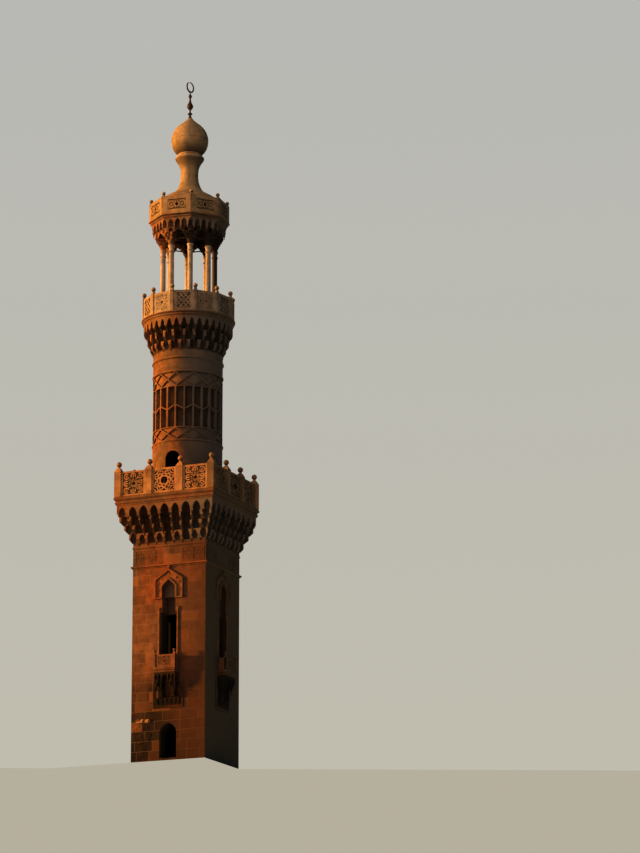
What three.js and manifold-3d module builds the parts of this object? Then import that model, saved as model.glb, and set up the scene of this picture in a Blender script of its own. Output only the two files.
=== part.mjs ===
// A stone minaret of three storeys: a square shaft, a round storey with carved
// relief, and an open pavilion of eight columns under a bulb.
// Millimetres, +Z up. The origin is the middle of the base, at the doorway's
// threshold level, and the doorway faces -Y.
// Azimuths are in degrees from -Y, growing towards +X.

import * as THREE from 'three';
import { mergeVertices } from 'three/addons/utils/BufferGeometryUtils.js';
import Module from 'manifold-3d';

const wasm = await Module();
wasm.setup();

// Square shaft
const shaft = { half: 2000, wellHalf: 1070, top: 9650, floor: 100 };
const doorway = { halfWidth: 460, spring: 1420, apex: 1870 };
const passage = { halfWidth: 445, sill: 4540, lintel: 7380 };
const upperRecess = { halfWidth: 360, ledge: 8170, spring: 8700, apex: 9010, lowDepth: 700, highDepth: 250 };
const windowFloor = { bottom: 4340, top: 4540 };
const hood = { halfWidth: 775, foot: 8050, shoulder: 9050, apex: 9560, proud: 110, channel: 60, ridge: 70 };

// Small balcony under each window
const smallBalcony = { halfWidth: 595, depth: 510, corniceBottom: 4280, railTop: 5160, ballZ: 5360, ballR: 75, parapet: 90 };
const bracket = { halfWidths: [240, 380, 500], depths: [150, 290, 420], bottoms: [2960, 3440, 3880] };
const bracketFrame = { halfWidth: 810, bottom: 2580, top: 4280, bar: 100, proud: 45 };
const jambShaft = { x: 510, r: 50, base: 5300, top: 7480, capTop: 7620, nookDepth: 70, nookHalf: 65, blockProud: 60 };

// Bands under the main balcony
const stringCourse = { half: 2090, top: 9830 };
const frieze = { top: 10900, lineBottom: 10700, lineTop: 10800, lineHalf: 2030 };

// Main corbelling: the outer half-side of each tier, its top, and its niches on a side
const mainTiers = [
  { half: 2160, top: 11450, niches: 8 },
  { half: 2350, top: 11850, niches: 9 },
  { half: 2530, top: 12280, niches: 8 },
  { half: 2630, top: 12850, niches: 9 },
];
const nichesInRow = 9;

// Main balcony
const mainFloor = { half: 2760, top: 13300, grooveDepth: 60, grooves: [12960, 13130], grooveHeight: 50 };
const mainParapet = {
  half: 2740, post: 320, panelTop: 14570, capTop: 14860, capHalf: 70,
  panelRecess: 150, panelThickness: 130, ballZ: 14980, ballR: 140, holeR: 110, smallHoleR: 60,
};

// Round storey
const drum = { r: 1770, wellR: 1100, doorTop: 16140, reliefTop: 19840, top: 20900, sides: 24 };
const drumDoor = { halfWidth: 405, apex: 15660 };
const relief = {
  ribs: 24, ribWidth: 120, azimuth: 12, depth: 90, rows: [[16850, 17830], [18050, 19030]], ring: 40, ringHeight: 110,
};
const neckRing = { proud: 60, bottom: 20440, top: 20560 };

// Upper corbelling and balcony: a niche of each tier stands at its azimuth
const upperTiers = [
  { r: 1930, top: 21330, niches: 12, sides: 24, azimuth: 19 },
  { r: 2090, top: 21850, niches: 24, sides: 24, azimuth: 11.5 },
  { r: 2270, top: 22550, niches: 36, sides: 36, azimuth: 0 },
];
const upperFloor = { r: 2400, top: 22800, grooveDepth: 50, groove: [22640, 22690] };
const upperParapet = {
  sides: 12, azimuth: 4, outerR: 2350, thickness: 120, railTop: 23870, postR: 2272, post: 190,
  capTop: 24010, capHalf: 50, ballZ: 24110, ballR: 120, holeR: 90,
};

// Pavilion and crown
const pavilion = { azimuth: 28.3, columnR: 1325 };
const column = {
  shaftR: 135, plinthHalf: 200, plinthTop: 22980, baseTop: 23130, astragal: 26590, capital: 26790,
  blockBottom: 26860, blockMid: 27030, blockTop: 27240, blockHalf: 320, blockLowHalf: 230,
};
const tieBar = { half: 25, z: 26960 };
const joint = 0.3;
const arcade = { outerR: 1790, wellR: 1180, top: 27480, archHalf: 210, archSpring: 27260, archApex: 27420 };
const crownTier = { outerR: 1940, top: 27900, perFace: 3, pitch: 430, back: 1690 };
const crownFloor = { outerR: 2100, top: 28120, grooveDepth: 45, groove: [27990, 28030] };
const crownParapet = {
  sides: 8, outerR: 2080, thickness: 110, railTop: 29050, postR: 1955, post: 150,
  capTop: 29150, capHalf: 45, ballZ: 29230, ballR: 100, holeR: 60,
};
const neckProfile = [
  [1640, 28120], [1640, 29150], [1400, 29370], [1000, 29600], [680, 29850], [500, 30250], [450, 30480],
  [445, 30830], [520, 31180], [680, 31460], [750, 31560], [750, 31620], [690, 31740],
];
const bulb = { bottom: 31740, z: 32580, r: 955, ringR: 640, top: 33810, topR: 90 };
const finialProfile = [
  [85, 33810], [70, 33920], [45, 33990], [130, 34070], [45, 34150], [45, 34280], [130, 34370], [166, 34470],
  [130, 34570], [60, 34720], [45, 34930], [93, 35040], [45, 35130], [28, 35290],
];
const crescent = { r: 265, bar: 30, z: 35545, turn: 48, opening: 24 };

// Finishes from the photograph: warm limestone, redder low down, and dark bronze
const stoneFinish = (name, color) => new THREE.MeshStandardMaterial({ name, color, roughness: 0.9, metalness: 0 });
const shaftStone = stoneFinish('shaft_limestone', 0x8c5a30);
const dressedStone = stoneFinish('dressed_limestone', 0xb87a38);
const carvedStone = stoneFinish('carved_limestone', 0xc8842e);
const floorStone = stoneFinish('floor_limestone', 0x9a7448);
const bronze = new THREE.MeshStandardMaterial({ name: 'bronze', color: 0x5a4630, roughness: 0.55, metalness: 0.9 });
const tieTimber = new THREE.MeshStandardMaterial({ name: 'tie_timber', color: 0x3a2a1c, roughness: 0.8, metalness: 0 });

const radians = THREE.MathUtils.degToRad;

// A closed geometry as a solid that can be joined and cut
function toSolid(geometry) {
  geometry.deleteAttribute('normal');
  geometry.deleteAttribute('uv');
  const merged = mergeVertices(geometry, 1e-3);
  const corners = merged.index.array;
  const kept = [];
  for (let i = 0; i < corners.length; i += 3) {
    const [a, b, c] = corners.slice(i, i + 3);
    if (a !== b && b !== c && c !== a) kept.push(a, b, c);
  }
  return new wasm.Manifold(new wasm.Mesh({
    numProp: 3,
    vertProperties: merged.attributes.position.array,
    triVerts: Uint32Array.from(kept),
  }));
}

function toGeometry(solid) {
  const mesh = solid.getMesh();
  const geometry = new THREE.BufferGeometry();
  geometry.setAttribute('position', new THREE.BufferAttribute(mesh.vertProperties, 3));
  geometry.setIndex(new THREE.BufferAttribute(mesh.triVerts, 1));
  geometry.computeVertexNormals();
  return geometry;
}

const join = (first, ...rest) => rest.reduce((sum, next) => sum.add(next), first);
const cut = (body, ...tools) => tools.reduce((left, tool) => left.subtract(tool), body);

function box(x0, x1, y0, y1, z0, z1) {
  const geometry = new THREE.BoxGeometry(x1 - x0, y1 - y0, z1 - z0);
  return toSolid(geometry.translate((x0 + x1) / 2, (y0 + y1) / 2, (z0 + z1) / 2));
}

const toShape = (points) => new THREE.Shape(points.map(([x, y]) => new THREE.Vector2(x, y)));

// An outline seen from above, raised from z0 to z1, with an optional hole
function prism(outline, z0, z1, hole) {
  const shape = toShape(outline);
  if (hole) shape.holes.push(toShape(hole));
  const geometry = new THREE.ExtrudeGeometry(shape, { depth: z1 - z0, bevelEnabled: false });
  return toSolid(geometry.translate(0, 0, z0));
}

// An outline seen from the front, as [x, z] points, between two depths y0 and y1,
// turned to the azimuth of its face
function frontPrism(outline, y0, y1, azimuth = 0) {
  const geometry = new THREE.ExtrudeGeometry(toShape(outline), { depth: y1 - y0, bevelEnabled: false });
  geometry.rotateX(Math.PI / 2).translate(0, y1, 0).rotateZ(radians(azimuth));
  return toSolid(geometry);
}

function lathe(profile, segments) {
  const points = [[0, profile[0][1]], ...profile, [0, profile.at(-1)[1]]];
  const geometry = new THREE.LatheGeometry(points.map(([r, z]) => new THREE.Vector2(r, z)), segments);
  return toSolid(geometry.rotateX(Math.PI / 2));
}

function ball(x, y, z, r) {
  const geometry = new THREE.SphereGeometry(r, 6, 4);
  return toSolid(geometry.rotateX(Math.PI / 2).translate(x, y, z));
}

const square = (half) => [[-half, -half], [half, -half], [half, half], [-half, half]];
const at = (r, azimuth) => [r * Math.sin(radians(azimuth)), -r * Math.cos(radians(azimuth))];

function polygon(sides, r, azimuth = 0) {
  return Array.from({ length: sides }, (_, i) => at(r, azimuth + (360 * i) / sides));
}

const circle = (r, azimuth = 0, sides = drum.sides) => polygon(sides, r, azimuth + 180 / sides);
const span = (count) => Array.from({ length: count }, (_, i) => i);

// A pointed opening as [x, z] points, its arch drawn with a few flat stretches
function pointedOutline(halfWidth, bottom, spring, apex, x = 0) {
  const rise = apex - spring;
  const arch = [[1, 0], [0.86, 0.36], [0.56, 0.7], [0, 1], [-0.56, 0.7], [-0.86, 0.36], [-1, 0]];
  return [
    [x - halfWidth, bottom], [x + halfWidth, bottom],
    ...arch.map(([u, v]) => [x + u * halfWidth, spring + v * rise]),
  ];
}

function roundOutline(halfWidth, bottom, apex) {
  const spring = apex - halfWidth;
  const arch = span(9).map((i) => at(halfWidth, 90 + (180 * i) / 8));
  return [[-halfWidth, bottom], [halfWidth, bottom], ...arch.map(([x, z]) => [x, spring + z])];
}

// A small niche of the corbelling, with a plain point
function nicheOutline(x, halfWidth, bottom, top) {
  const spring = bottom + (top - bottom) * 0.55;
  return [[x - halfWidth, bottom], [x + halfWidth, bottom], [x + halfWidth, spring], [x, top], [x - halfWidth, spring]];
}

function squarePyramid(x, y, halfBottom, halfTop, z0, z1, azimuth) {
  const geometry = new THREE.CylinderGeometry(halfTop * Math.SQRT2, halfBottom * Math.SQRT2, z1 - z0, 4);
  geometry.rotateX(Math.PI / 2).rotateZ(radians(45 + azimuth)).translate(x, y, (z0 + z1) / 2);
  return toSolid(geometry);
}

// A parapet post with its sloped cap and stone ball
function post(r, azimuth, width, z0, railTop, spec) {
  const [x, y] = at(r, azimuth);
  return join(
    squarePyramid(x, y, width / 2, width / 2, z0, railTop, azimuth),
    squarePyramid(x, y, width / 2, spec.capHalf, railTop, spec.capTop, azimuth),
    ball(x, y, spec.ballZ, spec.ballR),
  );
}

const minaret = new THREE.Group();

function add(name, solid, material, azimuth = 0) {
  const mesh = new THREE.Mesh(toGeometry(solid), material);
  mesh.name = name;
  mesh.rotation.z = radians(azimuth);
  minaret.add(mesh);
}

const faces = [
  { name: 'front', azimuth: 0 },
  { name: 'right', azimuth: 90 },
  { name: 'back', azimuth: 180 },
  { name: 'left', azimuth: 270 },
];

// Shaft walls: the front and back ones are full width, and the side ones stand between them.
// The window's jambs have slender shafts in nooks, with a base and a cap block each.
function windowCutters() {
  const out = -shaft.half - 10;
  const low = -shaft.half + upperRecess.lowDepth;
  const high = -shaft.half + upperRecess.highDepth;
  const nook = (x) => box(
    x - jambShaft.nookHalf, x + jambShaft.nookHalf, out, -shaft.half + jambShaft.nookDepth,
    passage.sill, jambShaft.capTop,
  );
  return [
    box(-passage.halfWidth, passage.halfWidth, out, -shaft.wellHalf + 10, passage.sill, passage.lintel),
    box(-upperRecess.halfWidth, upperRecess.halfWidth, out, low, passage.lintel - 10, upperRecess.ledge),
    frontPrism(
      pointedOutline(upperRecess.halfWidth, upperRecess.ledge - 10, upperRecess.spring, upperRecess.apex),
      out, high,
    ),
    nook(-jambShaft.x), nook(jambShaft.x),
  ];
}

function windowJambs() {
  const { x: middle, r, base, top, capTop, nookDepth, nookHalf, blockProud } = jambShaft;
  const wall = -shaft.half;
  return [-1, 1].map((way) => {
    const x = way * middle;
    const shaftTube = new THREE.CylinderGeometry(r, r, top - base + 20, 8);
    shaftTube.rotateX(Math.PI / 2).translate(x, wall, (base + top) / 2);
    return join(
      box(x - nookHalf, x + nookHalf, wall - blockProud, wall + nookDepth, passage.sill, base),
      toSolid(shaftTube),
      box(x - nookHalf, x + nookHalf, wall - blockProud, wall + nookDepth, top, capTop),
    );
  });
}

function shaftWall(halfWidth) {
  const wall = cut(box(-halfWidth, halfWidth, -shaft.half, -shaft.wellHalf, 0, shaft.top), ...windowCutters());
  return join(wall, ...windowJambs());
}

const doorwayCutter = frontPrism(
  pointedOutline(doorway.halfWidth, shaft.floor, doorway.spring, doorway.apex),
  -shaft.half - 10, -shaft.wellHalf + 10,
);
add('front_wall', cut(shaftWall(shaft.half), doorwayCutter), shaftStone);
add('right_wall', shaftWall(shaft.wellHalf), shaftStone, 90);
add('back_wall', shaftWall(shaft.half), shaftStone, 180);
add('left_wall', shaftWall(shaft.wellHalf), shaftStone, 270);
add('base_floor', prism(square(shaft.wellHalf), 0, shaft.floor), floorStone);
add('window_floor', prism(square(shaft.wellHalf), windowFloor.bottom, windowFloor.top), floorStone);

// Small balcony: a tapering bracket in a moulded frame, a slab, and a parapet on three
// sides with balls at its corners, cut back round the blocks of the window's jambs
function windowBalcony() {
  const b = smallBalcony;
  const wall = -shaft.half;
  const outer = wall - b.depth;
  const steps = bracket.halfWidths.map((half, i) => box(
    -half, half, wall - bracket.depths[i], wall,
    bracket.bottoms[i], bracket.bottoms[i + 1] ?? b.corniceBottom,
  ));
  const f = bracketFrame;
  const frame = cut(
    box(-f.halfWidth, f.halfWidth, wall - f.proud, wall, f.bottom, f.top),
    box(-f.halfWidth + f.bar, f.halfWidth - f.bar, wall - f.proud - 10, wall + 10, bracket.bottoms[0], f.top - f.bar),
  );
  const slab = box(-b.halfWidth, b.halfWidth, outer, wall, b.corniceBottom, passage.sill);
  const parapet = cut(
    box(-b.halfWidth + 15, b.halfWidth - 15, outer + 15, wall, passage.sill - 5, b.railTop),
    box(-b.halfWidth + b.parapet, b.halfWidth - b.parapet, outer + b.parapet, wall + 10, passage.sill, b.railTop + 10),
  );
  const corners = [-1, 1].map((way) => {
    const x = way * (b.halfWidth - 60);
    const y = outer + 60;
    return join(
      squarePyramid(x, y, 60, 60, passage.sill - 5, b.railTop, 0),
      squarePyramid(x, y, 60, 30, b.railTop, b.ballZ - b.ballR + 15, 0),
      ball(x, y, b.ballZ, b.ballR),
    );
  });
  const notchInner = jambShaft.x - jambShaft.nookHalf - joint;
  const jambNotches = [[-b.halfWidth - 10, -notchInner], [notchInner, b.halfWidth + 10]].map(
    ([x0, x1]) => box(x0, x1, wall - jambShaft.blockProud - joint, wall + 10, passage.sill, b.railTop + 10),
  );
  return cut(join(slab, ...steps, frame, parapet, ...corners), ...jambNotches);
}

// Hood: an angular moulding with a sunk channel between two ridges
function windowHood() {
  const wall = -shaft.half;
  const outline = (inset) => [
    [-hood.halfWidth + inset, hood.foot + inset], [hood.halfWidth - inset, hood.foot + inset],
    [hood.halfWidth - inset, hood.shoulder - inset / 2], [0, hood.apex - inset * 1.2],
    [-hood.halfWidth + inset, hood.shoulder - inset / 2],
  ];
  const arch = (grow) => pointedOutline(
    upperRecess.halfWidth + grow, hood.foot - 10, upperRecess.spring, upperRecess.apex + grow,
  );
  const channel = cut(
    frontPrism(outline(hood.ridge), wall - hood.proud - 10, wall - hood.proud + hood.channel),
    frontPrism(arch(hood.ridge), wall - hood.proud - 20, wall),
  );
  return cut(
    frontPrism(outline(0), wall - hood.proud, wall),
    frontPrism(arch(0), wall - hood.proud - 10, wall + 10),
    channel,
  );
}

for (const face of faces) {
  add(`${face.name}_window_balcony`, windowBalcony(), dressedStone, face.azimuth);
  add(`${face.name}_window_hood`, windowHood(), dressedStone, face.azimuth);
}

// Bands of the shaft's top, as square rings round the stair well
const well = square(shaft.wellHalf);
add('string_course', prism(square(stringCourse.half), shaft.top, stringCourse.top, well), dressedStone);
add('frieze', join(
  prism(square(shaft.half), stringCourse.top, frieze.top, well),
  prism(square(frieze.lineHalf), frieze.lineBottom, frieze.lineTop, well),
), dressedStone);

// Main corbelling: each tier is a square ring with a row of niches cut up into its
// foot, and the rows are staggered by half a niche
mainTiers.forEach((tier, i) => {
  const below = mainTiers[i - 1] ?? { half: shaft.half, top: frieze.top };
  const nicheTop = below.top + (tier.top - below.top) * 0.86;
  const pitch = (2 * tier.half) / nichesInRow;
  const niches = faces.flatMap((face) => span(tier.niches).map((k) => frontPrism(
    nicheOutline((k - (tier.niches - 1) / 2) * pitch, pitch * 0.34, below.top - 10, nicheTop),
    -tier.half - 10, -below.half, face.azimuth,
  )));
  add(`corbel_tier_${i + 1}`, cut(prism(square(tier.half), below.top, tier.top, well), ...niches), carvedStone);
});

const mainFloorBottom = mainTiers.at(-1).top;
const mainGrooves = mainFloor.grooves.map((z) => prism(
  square(mainFloor.half + 10), z, z + mainFloor.grooveHeight, square(mainFloor.half - mainFloor.grooveDepth),
));
add('main_balcony_floor', cut(prism(square(mainFloor.half), mainFloorBottom, mainFloor.top), ...mainGrooves), dressedStone);

// Main parapet: each side has its left corner post, two posts between the bays and
// three pierced panels, and ends against the next side's corner post
function parapetSide() {
  const p = mainParapet;
  const postMiddle = p.half - p.post / 2;
  const bay = (2 * postMiddle) / 3;
  const panelFront = -p.half + p.panelRecess;
  const panel = box(-postMiddle, postMiddle - p.post / 2, panelFront, panelFront + p.panelThickness, mainFloor.top, p.panelTop);
  const middleZ = (mainFloor.top + p.panelTop) / 2;
  const holes = [-1, 0, 1].map((k) => {
    const r = k === 0 ? p.holeR : p.smallHoleR;
    const outline = polygon(8, r, 22.5).map(([x, z]) => [x + k * bay, z + middleZ]);
    return frontPrism(outline, panelFront - 10, panelFront + p.panelThickness + 10);
  });
  const posts = [0, 1, 2].map((k) => {
    const x = -postMiddle + k * bay;
    return join(
      box(x - p.post / 2, x + p.post / 2, -p.half, -p.half + p.post, mainFloor.top, p.panelTop),
      squarePyramid(x, -postMiddle, p.post / 2, p.capHalf, p.panelTop, p.capTop, 0),
      ball(x, -postMiddle, p.ballZ, p.ballR),
    );
  });
  return join(cut(panel, ...holes), ...posts);
}
for (const face of faces) add(`main_parapet_${face.name}`, parapetSide(), carvedStone, face.azimuth);

// Round storey: a wall with the doorway to the balcony, the relief, and a plain neck
const roundRing = (r, z0, z1, azimuth, sides) => prism(circle(r, azimuth, sides), z0, z1, circle(drum.wellR));
add('drum_door_wall', cut(
  roundRing(drum.r, mainFloor.top, drum.doorTop),
  frontPrism(roundOutline(drumDoor.halfWidth, mainFloor.top - 10, drumDoor.apex), -drum.r - 10, -drum.wellR / 2),
), dressedStone);

const recesses = span(relief.ribs).flatMap((k) => relief.rows.map(([z0, z1]) => {
  const half = (Math.PI * drum.r) / relief.ribs - relief.ribWidth / 2;
  return frontPrism([[-half, z0], [half, z0], [half, z1], [-half, z1]],
    -drum.r - 10, -drum.r + relief.depth, relief.azimuth + (k * 360) / relief.ribs);
}));
const reliefRings = [drum.doorTop, drum.reliefTop - relief.ringHeight].map(
  (z) => roundRing(drum.r + relief.ring, z, z + relief.ringHeight, relief.azimuth),
);
add('drum_relief', join(
  cut(roundRing(drum.r, drum.doorTop, drum.reliefTop, relief.azimuth), ...recesses), ...reliefRings,
), carvedStone);
add('drum_neck', join(
  roundRing(drum.r, drum.reliefTop, drum.top),
  roundRing(drum.r + neckRing.proud, neckRing.bottom, neckRing.top),
), dressedStone);

// Upper corbelling: round tiers with more and smaller niches as they rise
upperTiers.forEach((tier, i) => {
  const below = upperTiers[i - 1] ?? { r: drum.r, top: drum.top };
  const nicheTop = below.top + (tier.top - below.top) * 0.84;
  const halfWidth = ((Math.PI * tier.r) / tier.niches) * 0.68;
  const niches = span(tier.niches).map((k) => frontPrism(
    nicheOutline(0, halfWidth, below.top - 10, nicheTop),
    -tier.r - 10, -below.r + 15, tier.azimuth + (k * 360) / tier.niches,
  ));
  const ring = roundRing(tier.r, below.top, tier.top, tier.azimuth, tier.sides);
  add(`upper_corbel_tier_${i + 1}`, cut(ring, ...niches), carvedStone);
});

const upperFloorBottom = upperTiers.at(-1).top;
add('upper_balcony_floor', cut(
  prism(circle(upperFloor.r), upperFloorBottom, upperFloor.top),
  prism(circle(upperFloor.r + 10), ...upperFloor.groove, circle(upperFloor.r - upperFloor.grooveDepth)),
), dressedStone);

// A many-sided parapet: a thin wall pierced once in each bay, with a post at each corner
function ringParapet(spec, z0) {
  const bayAngle = 360 / spec.sides;
  const inner = spec.outerR - spec.thickness;
  const wall = prism(polygon(spec.sides, spec.outerR, spec.azimuth), z0, spec.railTop,
    polygon(spec.sides, inner, spec.azimuth));
  const middleZ = (z0 + spec.railTop) / 2;
  const holes = span(spec.sides).map((k) => frontPrism(
    polygon(6, spec.holeR).map(([x, z]) => [x, z + middleZ]),
    -spec.outerR, -inner * Math.cos(radians(bayAngle / 2)) + 20, spec.azimuth + (k + 0.5) * bayAngle,
  ));
  const posts = span(spec.sides).map(
    (k) => post(spec.postR, spec.azimuth + k * bayAngle, spec.post, z0, spec.railTop, spec),
  );
  return join(cut(wall, ...holes), ...posts);
}
add('upper_parapet', ringParapet(upperParapet, upperFloor.top), carvedStone);

// Pavilion: eight columns, each with its plinth, capital and stepped block, and a
// tie bar that runs through all the blocks
const tieCorners = (r) => polygon(8, r, pavilion.azimuth);
const tieRing = (grow) => prism(
  tieCorners(pavilion.columnR + tieBar.half + grow), tieBar.z - tieBar.half - grow, tieBar.z + tieBar.half + grow,
  tieCorners(pavilion.columnR - tieBar.half - grow),
);
const tieTunnel = tieRing(joint * 2);
const columnProfile = [
  [180, column.plinthTop - 5], [180, column.plinthTop + 60], [column.shaftR, column.baseTop],
  [column.shaftR, column.astragal - 40], [column.shaftR + 25, column.astragal],
  [column.shaftR, column.astragal + 40], [200, column.capital], [200, column.blockBottom + 5],
];

function pavilionColumn(azimuth) {
  const [x, y] = at(pavilion.columnR, azimuth);
  const turned = new THREE.LatheGeometry(
    [[0, columnProfile[0][1]], ...columnProfile, [0, columnProfile.at(-1)[1]]].map(([r, z]) => new THREE.Vector2(r, z)), 8,
  ).rotateX(Math.PI / 2).translate(x, y, 0);
  const c = column;
  return cut(join(
    squarePyramid(x, y, c.plinthHalf, c.plinthHalf, upperFloor.top, c.plinthTop, azimuth),
    toSolid(turned),
    squarePyramid(x, y, c.blockLowHalf, c.blockLowHalf, c.blockBottom, c.blockMid + 5, azimuth),
    squarePyramid(x, y, c.blockHalf, c.blockHalf, c.blockMid, c.blockTop, azimuth),
  ), tieTunnel);
}
span(8).forEach((k) => add(`column_${k + 1}`, pavilionColumn(pavilion.azimuth + 45 * k), dressedStone));
add('tie_ring', tieRing(0), tieTimber);

// Crown: arches between the blocks, a tier of niches, a closing slab and a parapet
const octagon = (r) => polygon(8, r, pavilion.azimuth);
const faceAzimuths = span(8).map((k) => pavilion.azimuth + 22.5 + 45 * k);
const arches = faceAzimuths.map((azimuth) => frontPrism(
  pointedOutline(arcade.archHalf, column.blockTop - 10, arcade.archSpring, arcade.archApex),
  -arcade.outerR, -arcade.wellR * 0.8, azimuth,
));
add('arcade', cut(prism(octagon(arcade.outerR), column.blockTop, arcade.top, octagon(arcade.wellR)), ...arches), carvedStone);

const nicheBack = -crownTier.back * Math.cos(radians(22.5));
const crownNiches = faceAzimuths.flatMap((azimuth) => span(crownTier.perFace).map((k) => frontPrism(
  nicheOutline((k - (crownTier.perFace - 1) / 2) * crownTier.pitch, crownTier.pitch * 0.34,
    arcade.top - 10, arcade.top + (crownTier.top - arcade.top) * 0.84),
  -crownTier.outerR, nicheBack, azimuth,
)));
add('crown_corbel_tier', cut(
  prism(octagon(crownTier.outerR), arcade.top, crownTier.top, octagon(arcade.wellR)), ...crownNiches,
), carvedStone);
add('crown_floor', cut(
  prism(octagon(crownFloor.outerR), crownTier.top, crownFloor.top),
  prism(octagon(crownFloor.outerR + 10), ...crownFloor.groove, octagon(crownFloor.outerR - crownFloor.grooveDepth)),
), dressedStone);
add('crown_parapet', ringParapet({ ...crownParapet, azimuth: pavilion.azimuth }, crownFloor.top), carvedStone);

// Bulb on its flared neck, drawn up to a point under the metal finial
add('bulb_neck', lathe(neckProfile, 24), dressedStone);
function bulbProfile() {
  const lowAngle = Math.acos((bulb.z - bulb.bottom) / bulb.r);
  const start = lowAngle * (180 / Math.PI);
  const round = span(8).map((i) => {
    const [r, z] = at(bulb.r, start + ((118 - start) * i) / 7);
    return [r, bulb.z + z];
  });
  const [shoulderR, shoulderZ] = round.at(-1);
  const rise = bulb.top - shoulderZ;
  const ogee = [[0.72, 0.3], [0.44, 0.55], [0.24, 0.78]].map(([u, v]) => [shoulderR * u, shoulderZ + rise * v]);
  return [[bulb.ringR, bulb.bottom], ...round.slice(1), ...ogee, [bulb.topR, bulb.top]];
}
add('bulb', lathe(bulbProfile(), 24), dressedStone);

// Finial: knobs on a stem, and a nearly closed crescent standing on it
function crescentRing() {
  const gap = radians(crescent.opening);
  const curve = new THREE.CatmullRomCurve3(span(21).map((i) => {
    const angle = Math.PI / 2 + gap + ((2 * Math.PI - 2 * gap) * i) / 20;
    return new THREE.Vector3(crescent.r * Math.cos(angle), 0, crescent.z + crescent.r * Math.sin(angle));
  }));
  const section = toShape(polygon(6, crescent.bar));
  return toSolid(new THREE.ExtrudeGeometry(section, { steps: 20, extrudePath: curve, bevelEnabled: false }));
}
add('finial', join(lathe(finialProfile, 10), crescentRing()), bronze, crescent.turn);

export default minaret;
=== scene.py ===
import math

import bpy
from mathutils import Matrix, Vector, noise


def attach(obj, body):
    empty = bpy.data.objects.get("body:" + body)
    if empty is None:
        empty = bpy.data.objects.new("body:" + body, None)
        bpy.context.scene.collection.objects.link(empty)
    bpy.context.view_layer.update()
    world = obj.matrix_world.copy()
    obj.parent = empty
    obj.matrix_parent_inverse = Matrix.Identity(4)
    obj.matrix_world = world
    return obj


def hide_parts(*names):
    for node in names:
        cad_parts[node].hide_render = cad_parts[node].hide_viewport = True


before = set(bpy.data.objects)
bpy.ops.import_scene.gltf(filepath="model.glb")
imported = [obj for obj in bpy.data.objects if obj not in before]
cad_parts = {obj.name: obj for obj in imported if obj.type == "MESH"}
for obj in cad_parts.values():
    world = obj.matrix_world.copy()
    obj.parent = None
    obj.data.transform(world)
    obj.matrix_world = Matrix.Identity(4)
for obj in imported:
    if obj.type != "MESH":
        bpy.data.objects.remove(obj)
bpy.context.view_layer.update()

# The minaret in metres, +Z up. Azimuths are degrees from -Y towards +X, as in the frame.
rad = math.radians
quarters = {"front": 0, "right": 90, "back": 180, "left": 270}
wallFace = 2.0      # the shaft's wall, from the axis
bedded = -1.99      # what stands on the front wall starts inside its face


def around(count, start=0.0):
    return [start + 360 * k / count for k in range(count)]


def facing(azimuths, **more):     # one place for each azimuth
    return [{"azimuth": azimuth, **more} for azimuth in azimuths]


def placeOf(item):      # where a camera or lamp stands, from its azimuth, distance and height
    angle = rad(item["azimuth"])
    return (item["distance"] * math.sin(angle), -item["distance"] * math.cos(angle), item["z"])


# Modelling steps that the pieces share


def only(*objects):
    bpy.ops.object.select_all(action="DESELECT")
    for piece in objects:
        piece.select_set(True)
    bpy.context.view_layer.objects.active = objects[0]


def primitive(kind, **shape):     # a new one, selected alone, with its place in its mesh
    bpy.ops.object.select_all(action="DESELECT")
    getattr(bpy.ops.mesh, f"primitive_{kind}_add")(**shape)
    bpy.ops.object.transform_apply()
    return bpy.context.object


def edit(piece):
    only(piece)
    bpy.ops.object.mode_set(mode="EDIT")
    bpy.ops.mesh.select_all(action="SELECT")


def cleanUp(piece, gap=1e-4):     # merges what meets, and turns every face outwards
    edit(piece)
    bpy.ops.mesh.remove_doubles(threshold=gap)
    bpy.ops.mesh.normals_make_consistent(inside=False)
    bpy.ops.object.mode_set(mode="OBJECT")
    return piece


def turned(profile, sides=48, turn=0.0, well=0.0):
    # A circle drawn up along its (radius, height) profile, as on a lathe, solid or round a well.
    # Few sides make a square or an octagon, and then the radius is the one to the flats.
    if well:
        profile = [(well, profile[0][1]), *profile, (well, profile[-1][1]), (well, profile[0][1])]
    spread = 1 / math.cos(math.pi / sides) if sides <= 12 else 1
    steps = [(max(r, 0.0004) * spread, z) for r, z in profile]
    lastR, lastZ = steps[0]
    piece = primitive("circle", vertices=sides, radius=lastR, location=(0, 0, lastZ),
                      rotation=(0, 0, rad(turn)), fill_type="NOTHING" if well else "NGON")
    edit(piece)
    for r, z in steps[1:]:
        bpy.ops.mesh.extrude_region_move(TRANSFORM_OT_translate={"value": (0, 0, z - lastZ)})
        bpy.ops.transform.resize(value=(r / lastR, r / lastR, 1), center_override=(0, 0, z))
        lastR, lastZ = r, z
    bpy.ops.object.mode_set(mode="OBJECT")
    return cleanUp(piece, 0.001)


def stone(x0, x1, y0, y1, z0, z1, edge):      # a dressed block, its arrises worn by edge
    piece = primitive("cube", size=1, location=((x0 + x1) / 2, (y0 + y1) / 2, (z0 + z1) / 2),
                      scale=(x1 - x0, y1 - y0, z1 - z0))
    edit(piece)
    bpy.ops.mesh.bevel(offset=edge, segments=1, affect="EDGES")
    bpy.ops.object.mode_set(mode="OBJECT")
    return piece


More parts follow.
